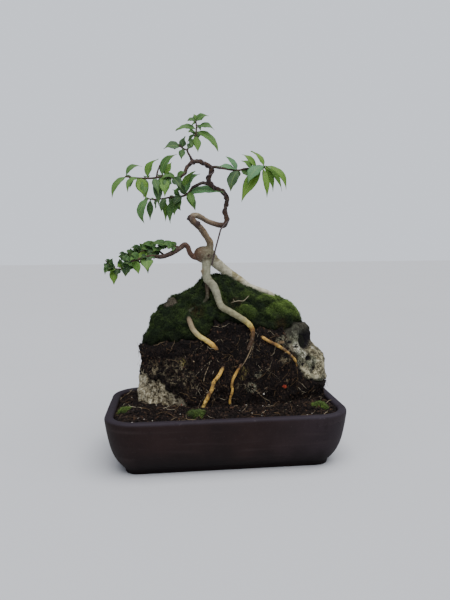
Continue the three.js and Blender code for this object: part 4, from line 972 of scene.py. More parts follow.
def route(rows, spacing):
    """Centripetal curve through rows of x, y, z and maybe radius: evenly spaced points, radii and shares."""
    table = np.asarray(rows, dtype=float)
    places = table[:, :3]
    ends = [2 * places[0] - places[1], *places, 2 * places[-1] - places[-2]]
    points, keys = [], []
    for i in range(len(places) - 1):
        a, b, c, d = ends[i:i + 4]
        steps = [max(np.linalg.norm(q - p) ** 0.5, 1e-6) for p, q in ((a, b), (b, c), (c, d))]
        start = ((b - a) / steps[0] - (c - a) / (steps[0] + steps[1]) + (c - b) / steps[1]) * steps[1]
        finish = ((c - b) / steps[1] - (d - b) / (steps[1] + steps[2]) + (d - c) / steps[2]) * steps[1]
        for t in np.arange(0, 1, 1 / STRETCH_STEPS):
            curve = 2 * t ** 3 - 3 * t ** 2
            leaving, arriving = (t ** 3 - 2 * t ** 2 + t) * start, (t ** 3 - t ** 2) * finish
            points.append((curve + 1) * b - curve * c + leaving + arriving)
            keys.append(i + t)
    points.append(places[-1])
    keys.append(len(places) - 1)
    points = np.array(points)
    along = np.concatenate([[0], np.cumsum(np.linalg.norm(np.diff(points, axis=0), axis=1))])
    count = max(2, round(along[-1] / spacing))
    wanted = np.linspace(0, along[-1], count + 1)
    even = np.stack([np.interp(wanted, along, points[:, k]) for k in range(3)], axis=1)
    key = np.interp(wanted, along, keys)
    radii = np.interp(key, np.arange(len(rows)), table[:, 3]) if table.shape[1] > 3 else np.ones(len(key))
    return even, radii, key / (len(rows) - 1)


def tube(points, radii, sides):
    """Vertices and faces of a round tube with closed ends."""
    ahead = np.vstack([points[1:], points[-1:]]) - np.vstack([points[:1], points[:-1]])
    along = unit(ahead)
    side = np.array((1.0, 0, 0)) if abs(along[0][2]) > 0.9 else np.array((0, 0, 1.0))
    turn = turns(sides)
    rings = []
    for centre, direction, radius in zip(points, along, radii):
        side = unit(side - direction * side.dot(direction))
        other = np.cross(direction, side)
        rings.append(centre + radius * (np.outer(np.cos(turn), side) + np.outer(np.sin(turn), other)))
    vertices = np.vstack([*rings, points[:1], points[-1:]])
    return vertices, skin_faces(len(points), sides)


def merge(shells):
    """One list of vertices and faces out of several."""
    vertices, faces, offset = [], [], 0
    for points, ring in shells:
        vertices.append(points)
        faces.extend(tuple(index + offset for index in face) for face in ring)
        offset += len(points)
    return np.vstack(vertices), faces


# Geometry Nodes: what is strewn over a surface and what follows a strand

def geometry_sheet(name, inputs):
    """A geometry tree with the given named inputs, and what they carry."""
    tree = bpy.data.node_groups.new(name, "GeometryNodeTree")
    tree.interface.new_socket(name="Geometry", in_out="OUTPUT", socket_type="NodeSocketGeometry")
    for title, kind in {"Geometry": "Geometry", **inputs}.items():
        tree.interface.new_socket(name=title, in_out="INPUT", socket_type="NodeSocket" + kind)
    sheet = Sheet(tree)
    carried = tree.nodes.new("NodeGroupInput").outputs
    return sheet, {title: Signal(sheet, carried[title]) for title in ("Geometry", *inputs)}


def scatter_tree():
    """Shapes strewn over a surface where a value of its own says so, each turned and sized by chance."""
    s, given = geometry_sheet("strew", {
        "Per square metre": "Float", "Where": "String", "Seed": "Int", "Shapes": "Collection",
        "Smallest": "Float", "Largest": "Float", "Lean": "Float", "Upright": "Float", "Lift": "Float",
        "Finish": "Material",
    })

    def chance(low, high, step):
        settings = {"data_type": "FLOAT"}
        return s.node("FunctionNodeRandomValue", settings, Min=low, Max=high, Seed=given["Seed"] + step)

    where = s.node("GeometryNodeInputNamedAttribute", {"data_type": "FLOAT"}, given["Where"])
    spread = s.node(
        "GeometryNodeDistributePointsOnFaces", {"distribute_method": "RANDOM"}, given["Geometry"],
        Density=where * given["Per square metre"], Seed=given["Seed"],
    )
    normal = spread.out("Normal")
    lifted = s.node("ShaderNodeVectorMath", {"operation": "SCALE"}, normal, Scale=given["Lift"])
    points = s.node("GeometryNodeSetPosition", {}, spread, Offset=lifted)
    upright = {"Factor": given["Upright"], "A": normal, "B": (0.0, 0.0, 1.0)}
    facing = s.node("ShaderNodeMix", {"data_type": "VECTOR"}, **upright)
    turned = s.node("FunctionNodeAlignRotationToVector", {"axis": "Z"}, Vector=facing)
    lean_x, lean_y = (chance(-1.0, 1.0, step) * given["Lean"] for step in (1, 2))
    tilted = s.node("ShaderNodeCombineXYZ", {}, X=lean_x, Y=lean_y, Z=0.0)
    spun = s.node("ShaderNodeCombineXYZ", {}, X=0.0, Y=0.0, Z=chance(0.0, 2 * math.pi, 3))
    for euler in (tilted, spun):
        change = s.node("FunctionNodeEulerToRotation", {}, euler)
        turned = s.node("FunctionNodeRotateRotation", {"rotation_space": "LOCAL"}, turned, Rotate_By=change)
    shapes = s.node(
        "GeometryNodeCollectionInfo", {}, given["Shapes"], Separate_Children=True, Reset_Children=True,
    )
    set_out = s.node(
        "GeometryNodeInstanceOnPoints", {}, points, Instance=shapes, Pick_Instance=True, Rotation=turned,
        Scale=chance(given["Smallest"], given["Largest"], 4),
    )
    tinted = s.node(
        "GeometryNodeStoreNamedAttribute", {"data_type": "FLOAT", "domain": "INSTANCE"}, set_out,
        Name="tint", Value=chance(0.0, 1.0, 5),
    )
    real = s.node("GeometryNodeRealizeInstances", {}, tinted)
    s.node("NodeGroupOutput", {}, s.node("GeometryNodeSetMaterial", {}, real, Material=given["Finish"]))
    return s.tree


def strand_tree():
    """Round strands along loose edges, as thick as each point says."""
    s, given = geometry_sheet("strands", {"Sides": "Int", "Finish": "Material"})
    lines = s.node("GeometryNodeMeshToCurve", {}, given["Geometry"])
    outline = s.node("GeometryNodeCurvePrimitiveCircle", {"mode": "RADIUS"}, given["Sides"], Radius=1.0)
    thickness = s.node("GeometryNodeInputNamedAttribute", {"data_type": "FLOAT"}, "thickness")
    drawn = s.node("GeometryNodeCurveToMesh", {}, lines, outline, Scale=thickness, Fill_Caps=True)
    smooth = s.node("GeometryNodeSetShadeSmooth", {}, drawn)
    s.node("NodeGroupOutput", {}, s.node("GeometryNodeSetMaterial", {}, smooth, Material=given["Finish"]))
    return s.tree


def run_tree(thing, tree, values):
    """Works a geometry tree into the thing's mesh."""
    modifier = thing.modifiers.new(tree.name, "NODES")
    modifier.node_group = tree
    for item in tree.interface.items_tree:
        if item.in_out == "INPUT" and item.name in values:
            modifier[item.identifier] = values[item.name]
    return evaluated(thing)


def strew(names, ground, shapes, tree, finishes):
    """Small shapes strewn over a ground mesh, as pieces of their own by their rows of STREWN."""
    group = bpy.data.collections.new("shapes")
    bpy.context.scene.collection.children.link(group)
    for i, mesh in enumerate(shapes):
        group.objects.link(bpy.data.objects.new(f"shape_{i}", mesh))
    for name in names:
        finish, slot, density, where, seed, smallest, largest, lean, upright, lift = STREWN[name]
        thing = show(name, ground.copy())
        run_tree(thing, tree, {
            "Per square metre": density / MM ** 2, "Where": where, "Seed": seed, "Shapes": group,
            "Smallest": smallest, "Largest": largest, "Lean": lean, "Upright": upright, "Lift": lift * MM,
            "Finish": finishes[finish],
        })
        settle(thing, slot)
    for thing in list(group.objects):
        bpy.data.objects.remove(thing)
    bpy.data.collections.remove(group)


def strands(name, lines, sides, tree, finish):
    """Strands along lists of points, radii and a tint."""
    points, edges, thickness, tints = [], [], [], []
    for path, radii, tint in lines:
        start = len(points)
        points.extend(np.asarray(path) * MM)
        thickness.extend(np.asarray(radii) * MM)
        tints.extend([tint] * len(path))
        edges.extend((start + i, start + i + 1) for i in range(len(path) - 1))
    mesh = bpy.data.meshes.new(name)
    mesh.from_pydata([tuple(p) for p in points], edges, [])
    add_values(mesh, "thickness", thickness)
    add_values(mesh, "tint", tints)
    thing = show(name, mesh)
    run_tree(thing, tree, {"Sides": sides, "Finish": finish})
    return thing


# Pot

def rounded_ring(inset, height, arc_steps, long_steps, short_steps):
    """Level outline of the pot, standing in by the inset, counterclockwise from above."""
    half_x = POT_LENGTH / 2 - inset
    half_y = POT_DEPTH / 2 - inset
    radius = max(POT_CORNER - inset, 8)

    def on_corner(number, quarters):
        sx, sy = ((1, 1), (-1, 1), (-1, -1), (1, -1))[number % 4]
        x = sx * (half_x - radius) + radius * math.cos(quarters * math.pi / 2)
        y = sy * (half_y - radius) + radius * math.sin(quarters * math.pi / 2)
        return x, y, height

    ring = []
    for number in range(4):
        ring += [on_corner(number, number + k / (arc_steps - 1)) for k in range(arc_steps)]
        last = np.array(ring[-1])
        following = np.array(on_corner(number + 1, number + 1))
        steps = long_steps if number % 2 == 0 else short_steps
        ring += [tuple(last + (following - last) * k / steps) for k in range(1, steps)]
    return ring


def cavity_inset(height):
    return POT_WALL + max(0, (CAVITY_KNEE - height) * CAVITY_SLOPE)


def make_pot(finish):
    foot = POT_PROFILE[0][1] + FOOT_WIDTH
    wall = route([(share * POT_HEIGHT, inset, 0) for share, inset in POT_PROFILE[1:]], 1.3)[0]
    levels = [
        (FOOT_RECESS, foot + 12), (FOOT_RECESS, foot + 3), (FOOT_RECESS - 0.3, foot + 1.2), (0.6, foot + 0.4),
        (0.1, foot - 0.5), (0, foot - 2), (0, POT_PROFILE[0][1] + 1.5), (0.12, POT_PROFILE[0][1] - 0.2),
        *wall[:, :2],
        (POT_HEIGHT + 0.02, 3.2), (POT_HEIGHT, 5), (POT_HEIGHT - 0.2, 6.8), (POT_HEIGHT - 1, 8.2),
        (POT_HEIGHT - 2.4, 8.9), (POT_HEIGHT - 5, 9),
        *((height, cavity_inset(height)) for height in (44, 36, 31, 27, 22, 17, 13)),
        (POT_FLOOR + 1.2, 17.5), (POT_FLOOR, 19.5), (POT_FLOOR, 32),
    ]
    rings = np.array([rounded_ring(inset, height, 12, 26, 12) for height, inset in levels])
    flat = rings.reshape(-1, 3)
    outward = unit(flat - np.array((0, 0, POT_HEIGHT / 2)))
    hand = 0.35 * fractal(flat, 38, 2, 1) + 0.07 * fractal(flat, 6, 2, 2)
    standing = rise(2, 8, flat[:, 2])[:, None]
    flat = flat + outward * np.minimum(hand, 0)[:, None] * standing
    vertices = np.vstack([flat, (0, 0, FOOT_RECESS), (0, 0, POT_FLOOR)])
    pot = show("clay_pot", make_mesh("clay_pot", vertices, skin_faces(len(levels), rings.shape[1]), [finish]))
    for side in (-1, 1):
        column = np.array([(side * DRAIN_OFFSET, 0, height) for height in (-2.0, POT_FLOOR + 4)])
        drill = show("drill", make_mesh("drill", *tube(column, [DRAIN_RADIUS] * 2, 40), [finish]))
        worked(pot, "BOOLEAN", object=drill, operation="DIFFERENCE")
        bpy.data.objects.remove(drill)
    pot.data.shade_smooth()
    pot.data.set_sharp_from_angle(angle=math.radians(POT_SHARP_ANGLE))
    settle(pot, "pot_clay", "pot")


# Mound

def mound_grid(sides, levels, lowest):
    """Points over the mound in rings from the lowest up, with their outward directions."""
    places = np.linspace(lowest, len(MOUND) - 2, levels)
    index = np.minimum(places.astype(int), len(MOUND) - 3)
    share = (places - index)[:, None]
    before, low, high, after = (MOUND[np.clip(index + k, 0, len(MOUND) - 1)] for k in (-1, 0, 1, 2))
    rows = 0.5 * (
        2 * low + (high - before) * share + (2 * before - 5 * low + 4 * high - after) * share ** 2
        + (3 * low - before - 3 * high + after) * share ** 3
    )
    even = turns(sides)
    turn = even + 0.2 * np.sin(2 * even)
    bow_x = np.sign(np.cos(turn)) * np.abs(np.cos(turn)) ** (2 / MOUND_POWER)
    bow_y = np.sign(np.sin(turn)) * np.abs(np.sin(turn)) ** (2 / MOUND_POWER)
    rings = []
    for height, left, right, front, back in rows:
        x = (left + right) / 2 + (right - left) / 2 * bow_x
        y = (front + back) / 2 + (back - front) / 2 * bow_y
        rings.append(np.stack([x, y, np.full(sides, height)], axis=1))
    last = rings[-1]
    for reach in (0.85, 0.7, 0.55, 0.4, 0.25, 0.1):
        ring = MOUND_TOP + (last - MOUND_TOP) * reach
        ring[:, 2] = MOUND_TOP[2] - (MOUND_TOP[2] - last[:, 2]) * reach ** 2
        rings.append(ring)
    grid = np.array(rings)
    around = np.roll(grid, -1, axis=1) - np.roll(grid, 1, axis=1)
    upward = np.empty_like(grid)
    upward[1:-1] = grid[2:] - grid[:-2]
    upward[0] = grid[1] - grid[0]
    upward[-1] = grid[-1] - grid[-2]
    return grid, unit(np.cross(around, upward))


def moss_edge(p):
    """Height of the moss's lower edge at each point, in front and behind."""
    x, y, _ = p.T
    on_back = rise(5, 25, y)
    return look_up(MOSS_EDGE, x) * (1 - on_back) + (116 + 6 * np.sin(x * 0.07 + 1)) * on_back


def bare_patch(p, ragged):
    """Stone showing through the moss at the upper left."""
    x, y, z = p.T
    near = np.exp(-(((x + 58) / 11) ** 2 + ((z - 163.5) / 7) ** 2)) * fall(4, 16, y)
    return rise(0.38, 0.6, near + ragged * 0.04)


def moss_cover(p, ragged):
    edge = moss_edge(p) + ragged
    return rise(edge - 2.2, edge + 2.2, p[:, 2]) * (1 - bare_patch(p, ragged))


def peat_cover(p, moss, ragged):
    x, y, z = p.T
    strayed = x + 2.4 * ragged + 5 * np.sin(z * 0.11)
    behind = rise(-62, -50, strayed) * fall(48, 60, strayed) * rise(78, 88, z + ragged)
    right = look_up(PEAT_RIGHT, z) + ragged
    bare = look_up(BARE_LEFT, x) + 1.7 * ragged
    front = np.minimum(fall(right - 3, right + 3, x), rise(bare - 2.5, bare + 2.5, z))
    front = front * (1 - bare_patch(p, ragged / 1.4))
    return np.where(y + 1.2 * ragged > 8, behind, front) * (1 - moss)


def holes_at(p):
    """How deep each point lies in the holes of the bare rock, and how much painted shade falls there."""
    x, y, z = p.T
    ragged = 0.35 * fractal(p, 3.5, 3, 19)
    depth, dark = np.zeros(len(p)), np.zeros(len(p))
    for hole_x, hole_z, along, up, deep in ROCK_HOLES:
        away = ((x - hole_x) / along) ** 2 + ((z - hole_z) / up) ** 2
        share = np.exp(-away ** 1.6 * (1 + ragged))
        depth = np.maximum(depth, deep * share * fall(-6, 5, y))
        dark = np.maximum(dark, share * fall(2, 12, y))
    return depth, dark


def covers(p):
    """How far moss and peat cover each point, with ragged edges."""
    ragged = 4.5 * fractal(p, 13, 3, 3) + 1.8 * fractal(p, 4, 2, 4)
    moss = moss_cover(p, ragged)
    return moss, peat_cover(p, moss, 1.4 * ragged)


def rock_offset(p, moss, peat):
    x, y, z = p.T
    waves = np.sin(x * 0.11 + z * 0.07) + np.sin(z * 0.19 - y * 0.13 + 2) + np.sin(x * 0.23 + y * 0.21)
    relief = 0.9 * waves - 1.2 - holes_at(p)[0]
    pitted = np.clip(1 - cell_distance(p, 5.5, 1) / 0.42, 0, 1) ** 0.7
    small = np.clip(1 - cell_distance(p, 2.8, 2) / 0.4, 0, 1)
    relief += 1.9 * fractal(p, 13, 4, 5) + 0.8 * fractal(p, 3.2, 2, 6) - 1.7 * pitted - 0.8 * small
    covered = np.maximum(moss, peat)
    return relief * (1 - 0.6 * covered) - MOSS_THICKNESS * moss - PEAT_THICKNESS * peat


def cushions_at(p):
    """How far the moss swells at each point, and how bright the painted light on its cushions is there."""
    x, y, z = p.T
    swell, glow = np.zeros(len(p)), np.zeros(len(p))
    for middle_x, middle_z, along, up, height, bright in MOSS_CUSHIONS:
        away = ((x - middle_x) / along) ** 2 + ((z - middle_z) / up) ** 2
        dome = np.clip(1 - away, 0, 1) ** 0.6 * fall(4, 34, y)
        swell = np.maximum(swell, height * dome)
        # Painted light: each cushion is brightest on its upper part, where light from above falls.
        lit = np.clip(0.55 + 0.6 * (z - middle_z) / up, 0, 1)
        glow = np.maximum(glow, bright * lit * rise(0, 0.5, dome))
    return swell, glow


def moss_offset(p, moss):
    x, y, z = p.T
    relief = 0.9 * np.sin(x * 0.16 + 0.5) * np.sin(z * 0.17 + y * 0.12)
    relief += 0.6 * np.sin(x * 0.31 + y * 0.27 + z * 0.2)
    cushions = 1 - np.clip(cell_distance(p, 10, 3) / 0.62, 0, 1) ** 2
    small = 1 - np.clip(cell_distance(p, 4.5, 4) / 0.62, 0, 1) ** 2
    relief += 1.6 * (cushions - 0.55) + 0.8 * (small - 0.5) + 0.5 * fractal(p, 3, 3, 7)
    relief += cushions_at(p)[0] - MOSS_DROP
    return BURIED * (1 - moss) + relief * moss


def peat_offset(p, peat):
    x, _, z = p.T
    relief = 0.6 * np.sin(x * 0.27 + z * 0.09) + 0.5 * np.sin(z * 0.33 - x * 0.12)
    relief += 1.5 * fractal(p, 9, 4, 8) + 0.9 * fractal(p, 2.4, 2, 9)
    relief -= 1.2 * np.clip(1 - cell_distance(p, 7, 5) / 0.4, 0, 1)
    return BURIED * (1 - peat) + relief * peat


def mound_layer(name, grid, offset_of, finish):
    """One closed layer of the mound, and how far moss and peat cover each of its points."""
    sides, levels, lowest = grid
    rings, normals = mound_grid(sides, levels, lowest)
    flat = rings.reshape(-1, 3)
    moss, peat = covers(flat)
    offset = offset_of(flat, moss, peat)
    moved = flat + normals.reshape(-1, 3) * offset[:, None]
    top = MOUND_TOP + np.array((0, 0, offset[-sides:].mean()))
    foot = moved[:sides].mean(axis=0)
    mesh = make_mesh(name, np.vstack([moved, foot, top]), skin_faces(len(rings), sides), [finish])
    return mesh, flat, np.append(moss, (0, 1)), np.append(peat, (0, 0))


# Bodies strewn about: crumbs, fibres and moss shoots

def crumb(seed, finish):
    """A rough crumb one millimetre across."""
    chance = random.Random(seed)
    golden = (1 + 5 ** 0.5) / 2
    corners = []
    for a, b in ((-1, -golden), (1, -golden), (-1, golden), (1, golden)):
        corners += [(0, a, b), (a, b, 0), (b, 0, a)]
    corners = unit(np.array(corners, dtype=float)) * 0.5
    hull = bpy.data.meshes.new("hull")
    hull.from_pydata([tuple(c) for c in corners], [], [])
    work = bmesh.new()
    work.from_mesh(hull)
    bmesh.ops.convex_hull(work, input=work.verts)
    stretch = [chance.uniform(0.6, 1.3) for _ in range(3)]
    for vertex in work.verts:
        push = chance.uniform(0.75, 1.25)
        vertex.co = Vector([c * s * push * MM for c, s in zip(vertex.co, stretch)])
    bmesh.ops.recalc_face_normals(work, faces=work.faces)
    work.to_mesh(hull)
    work.free()
    hull.materials.append(finish)
    return hull


def fibre(seed, length, radius, finish):
    """A bent rootlet lying along X, three-sided."""
    chance = random.Random(seed)
    steps = 5
    heading = chance.uniform(-0.4, 0.4)
    point = np.array((-length / 2, 0.0, 0.0))
    points = [point]
    for _ in range(steps):
        heading += chance.uniform(-0.6, 0.6)
        rise_step = chance.uniform(-0.25, 0.3)
        point = point + np.array((math.cos(heading), math.sin(heading), rise_step)) * length / steps
        points.append(point)
    radii = [radius * share for share in (0.6, 1, 1, 0.85, 0.6, 0.3)]
    vertices, faces = tube(np.array(points), radii, 3)
    return make_mesh("fibre", vertices, faces, [finish])


def moss_shoot(seed, height, finish):
    """A star of slender three-sided needles."""
    chance = random.Random(seed)
    vertices, faces, tips = [], [], []
    for k in range(5):
        turn = k / 5 * 2 * math.pi + chance.uniform(-0.4, 0.4)
        lean = chance.uniform(0.15, 0.85)
        length = height * chance.uniform(0.7, 1.15)
        outward = np.array((math.cos(turn), math.sin(turn), 0))
        across = np.array((-math.sin(turn), math.cos(turn), 0))
        foot = outward * 0.12
        width = 0.2 * chance.uniform(0.8, 1.2)
        tip = foot + outward * length * math.sin(lean) + np.array((0, 0, length * math.cos(lean)))
        start = len(vertices)
        vertices += [foot + across * width, foot - across * width, foot + outward * width * 1.6, tip]
        tips += [0, 0, 0.1, 1]
        faces += [
            (start, start + 2, start + 3), (start + 2, start + 1, start + 3),
            (start + 1, start, start + 3), (start, start + 1, start + 2),
        ]
    mesh = make_mesh("moss_shoot", np.array(vertices), faces, [finish])
    add_values(mesh, "rise", tips)
    return mesh


def make_mound(finishes, scatter, strand):
    rock, flat, moss, peat = mound_layer("bare_rock", ROCK_GRID, rock_offset, finishes["rock"])
    # Painted shade inside the rock's holes.
    add_values(rock, "hollow", np.append(rise(0.3, 0.62, holes_at(flat)[1]), (0, 0)))
    add_values(rock, "soiled", rise(0.02, 0.6, np.maximum(peat, moss)))
    settle(show("bare_rock", rock), "rock_porous", "rock")

    layer, _, _, peat = mound_layer(
        "peat_layer", PEAT_GRID, lambda p, moss, peat: peat_offset(p, peat), finishes["peat"])
    add_values(layer, "open", rise(0.55, 0.9, peat))
    settle(show("peat_layer", layer), "peat_rootlets", "peat")

    mat, flat, moss, _ = mound_layer(
        "moss_mat", MOSS_GRID, lambda p, moss, peat: moss_offset(p, moss), finishes["moss_mat"])
    turned_back = np.append(rise(12, 22, flat[:, 1]), (1, 0.5))
    open_moss = rise(0.4, 0.8, moss)
    # Painted shade: the moss darkens towards its lower edge.
    gloom = fall(-2, 14, flat[:, 2] - moss_edge(flat) - 4 * fractal(flat, 9, 3, 23))
    add_values(mat, "front", open_moss * (1 - turned_back))
    add_values(mat, "back", open_moss * turned_back)
    # Painted light on the tops of the moss's cushions.
    add_values(mat, "glow", np.append(cushions_at(flat)[1], (0.1, 0.1)))
    add_values(mat, "gloom", np.append(gloom, (0, 0)))
    settle(show("moss_mat", mat), "moss_green", "moss")

    work = bmesh.new()
    for surface in (rock, layer, mat):
        work.from_mesh(surface)
    ground = BVHTree.FromBMesh(work)
    work.free()
    make_rootlets(ground, strand, finishes["fibres"])
    make_dry_twig(ground, strand, finishes["fibres"])
    make_bits(ground, finishes)

    shoots = [moss_shoot(k, MOUND_SHOOT_HEIGHT, finishes["moss_shoots"]) for k in range(6)]
    fibres = [fibre(k, 5 + 1.6 * k, 0.2 + 0.02 * (k % 4), finishes["fibres"]) for k in range(7)]
    crumbs = [crumb(k, finishes["crumbs"]) for k in range(6)]
    strew(("moss_shoots_front", "moss_shoots_back"), mat, shoots, scatter, finishes)
    strew(("peat_fibres",), layer, fibres, scatter, finishes)
    strew(("peat_crumbs",), layer, crumbs, scatter, finishes)


# Small things laid on the mound one by one

def laid(ground, rows, lift):
    """Places on the ground's front over rows of x and height, standing out by the lift."""
    points = []
    for x, height in rows:
        foot = on_front(x, height, 0)
        outward = on_front(x, height, 1) - foot
        start = Vector((foot + outward * LAID_FROM) * MM)
        found = ground.ray_cast(start, Vector(-outward), LAID_REACH * MM)[0]
        points.append((np.array(found) / MM if found else foot) + outward * lift)
    return np.array(points)


def laid_strand(ground, rows, first, last, tint):
    """A strand laid over the ground from row to row, tapering from its first thickness to its last."""
    path = route([(x, height, 0) for x, height in rows], 1.4)[0][:, :2]
    radii = np.linspace(first, last, len(path)) / 2
    points = laid(ground, path, max(first, last) * 0.3)
    for _ in range(2):
        points[1:-1] = (points[:-2] + 2 * points[1:-1] + points[2:]) / 4
    return points, radii * (1 + 0.2 * fractal(points, 3, 2, 20)), tint


def make_rootlets(ground, strand, finish):
    """Rootlets hanging down over the peat, the most striking ones in places of their own."""
    lines = [laid_strand(ground, *row) for row in SINGLE_ROOTLETS]
    chance = random.Random(71)
    while len(lines) < HANGING_ROOTLETS:
        x, height = chance.uniform(*ROOTLET_SPAN), chance.uniform(*ROOTLET_START)
        _, peat = covers(on_front(x, height, 0)[None])
        if peat[0] < 0.7:
            continue
        drift = chance.gauss(0, 0.5)
        rows = [(x, height)]
        for _ in range(chance.randint(2, 6)):
            drift += chance.gauss(0, 0.35)
            x, height = x + drift * 3, height - chance.uniform(2, 4)
            rows.append((x, max(height, ROOTLET_FOOT)))
        thick = chance.uniform(0.22, 0.5)
        lines.append(laid_strand(ground, rows, thick, thick * 0.4, 0.98 * chance.random() ** 0.9))
    settle(strands("peat_rootlets_hung", lines, 4, strand, finish), "peat_rootlets")


def make_dry_twig(ground, strand, finish):
    points = np.vstack([laid(ground, [(x, height)], out) for x, height, out in DRY_TWIG])
    smooth, _, shares = route(points, 1)
    fork = route([smooth[4], smooth[4] + (-1.5, -1, 2.6)], 1)[0]
    lines = [(smooth, 0.36 - 0.12 * shares, 0.97), (fork, [0.2] * len(fork), 0.97)]
    settle(strands("dry_twig", lines, 6, strand, finish), "bark_pale")


def make_bits(ground, finishes):
    """Fragments of bark and grit lying on the peat."""
    for kind in sorted({bit[-1] for bit in BITS}):
        shells = []
        for number, (x, height, across, up, out, finish) in enumerate(BITS):
            if finish != kind:
                continue
            work = bmesh.new()
            bmesh.ops.create_icosphere(work, subdivisions=3, radius=0.5)
            ball = np.array([vertex.co[:] for vertex in work.verts])
            faces = [tuple(vertex.index for vertex in face.verts) for face in work.faces]
            work.free()
            ball *= (1 + 0.5 * fractal(ball + number, 0.5, 3, 21))[:, None]
            shells.append((laid(ground, [(x, height)], 0.2 * out)[0] + ball * (across, out, up), faces))
        mesh = make_mesh("bits_" + kind, *merge(shells), [finishes["bit_" + kind]])
        settle(show("bits_" + kind, mesh), "peat_rootlets")


# Soil

def make_soil(finishes, scatter):
    top = [(12, SOIL_LEVEL), (19, SOIL_LEVEL + 2), (28, SOIL_MOUND - 1), (39, SOIL_MOUND), (57, SOIL_MOUND)]
    rows = [
        (POT_FLOOR + 0.4, cavity_inset(POT_FLOOR) + 0.5), (CAVITY_KNEE, cavity_inset(CAVITY_KNEE) + 0.4),
        (SOIL_LEVEL - 2, POT_WALL + 0.5), (SOIL_LEVEL - 0.6, POT_WALL + 1.2),
        *((look_up(top, inset), inset) for inset in np.arange(11, 57, 1.5)),
    ]
    rings = np.array([rounded_ring(inset, height, 16, 84, 34) for height, inset in rows])
    flat = rings.reshape(-1, 3)
    surface = rise(SOIL_LEVEL - 1.5, SOIL_LEVEL, flat[:, 2])
    flat[:, 2] += surface * (1.5 * fractal(flat, 12, 3, 11) + 0.9 * fractal(flat, 3.2, 3, 12))
    vertices = np.vstack([flat, (0, 0, POT_FLOOR + 0.4), (0, 0, SOIL_MOUND)])
    mesh = make_mesh("soil_bed", vertices, skin_faces(len(rows), rings.shape[1]), [finishes["soil"]])
    left, right, front, back = MOUND[2][1:]
    x = (vertices[:, 0] - (left + right) / 2) / ((right - left) / 2)
    y = (vertices[:, 1] - (front + back) / 2) / ((back - front) / 2)
    around = np.abs(x) ** MOUND_POWER + np.abs(y) ** MOUND_POWER
    add_values(mesh, "open", np.append(surface, (0, 0)) * rise(0.85, 0.92, around))
    settle(show("soil_bed", mesh), "soil_dark", "soil")

    crumbs = [crumb(k, finishes["crumbs"]) for k in range(8)]
    straws = [fibre(50 + k, 6 + 2.2 * k, 0.27, finishes["fibres"]) for k in range(6)]
    strew(("soil_crumbs", "white_specks"), mesh, crumbs, scatter, finishes)
    strew(("soil_straw",), mesh, straws, scatter, finishes)


def make_soil_moss(finishes, scatter):
    """Low moss cushions standing in the soil."""
    shoots = [moss_shoot(20 + k, TUFT_SHOOT_HEIGHT, finishes["moss_shoots"]) for k in range(5)]
    foot = SOIL_LEVEL - TUFT_SUNK
    sides = 40
    turn = turns(sides)
    for name, (x, y, radius, height) in SOIL_TUFTS.items():
        outline = 1 + 0.12 * np.sin(3 * turn + x) + 0.1 * np.sin(5 * turn + y) + 0.07 * np.sin(9 * turn)
        rings = []
        for share, width in TUFT_PROFILE:
            reach = radius * width * outline
            level = np.full(sides, foot + height * share)
            ring = [x + reach * np.cos(turn), y + TUFT_FLATNESS * reach * np.sin(turn), level]
            rings.append(np.stack(ring, axis=1))
        flat = np.vstack([*rings, (x, y, foot), (x, y, foot + height)])
        flat[:, 2] += rise(foot + 1, foot + 3, flat[:, 2]) * 0.8 * fractal(flat, 4, 3, 13)
        mesh = make_mesh(name, flat, skin_faces(len(rings), sides), [finishes["moss_mat"]])
        add_values(mesh, "open", rise(foot + 2, foot + 3, flat[:, 2]))
        # Brightness of the soil's moss, varying at random, carried in the same value as the mound's painted
        # light.
        add_values(mesh, "glow", np.clip(0.3 + 0.45 * fractal(flat, 3, 3, 22), 0, 0.8))
        settle(show(name + "_cushion", mesh), "moss_green", name)
        strew((name + "_shoots",), mesh, shoots, scatter, finishes)


# Wood

PALE = (138, 138, 117)
PALE_WARM = (200, 196, 173)
GREY_TAN = (142, 130, 112)
TAN = (134, 116, 90)
GOLD = (224, 180, 88)
GOLD_PALE = (212, 192, 106)
GOLD_DULL = (140, 104, 50)
BROWN = (76, 56, 46)
DARK = (58, 44, 44)

LIMB_SPACING = 0.9
LIMB_SIDES = 18
SKIN_CELL = 0.62
SKIN_SMOOTHING = 0.5
SKIN_ROUNDS = 4

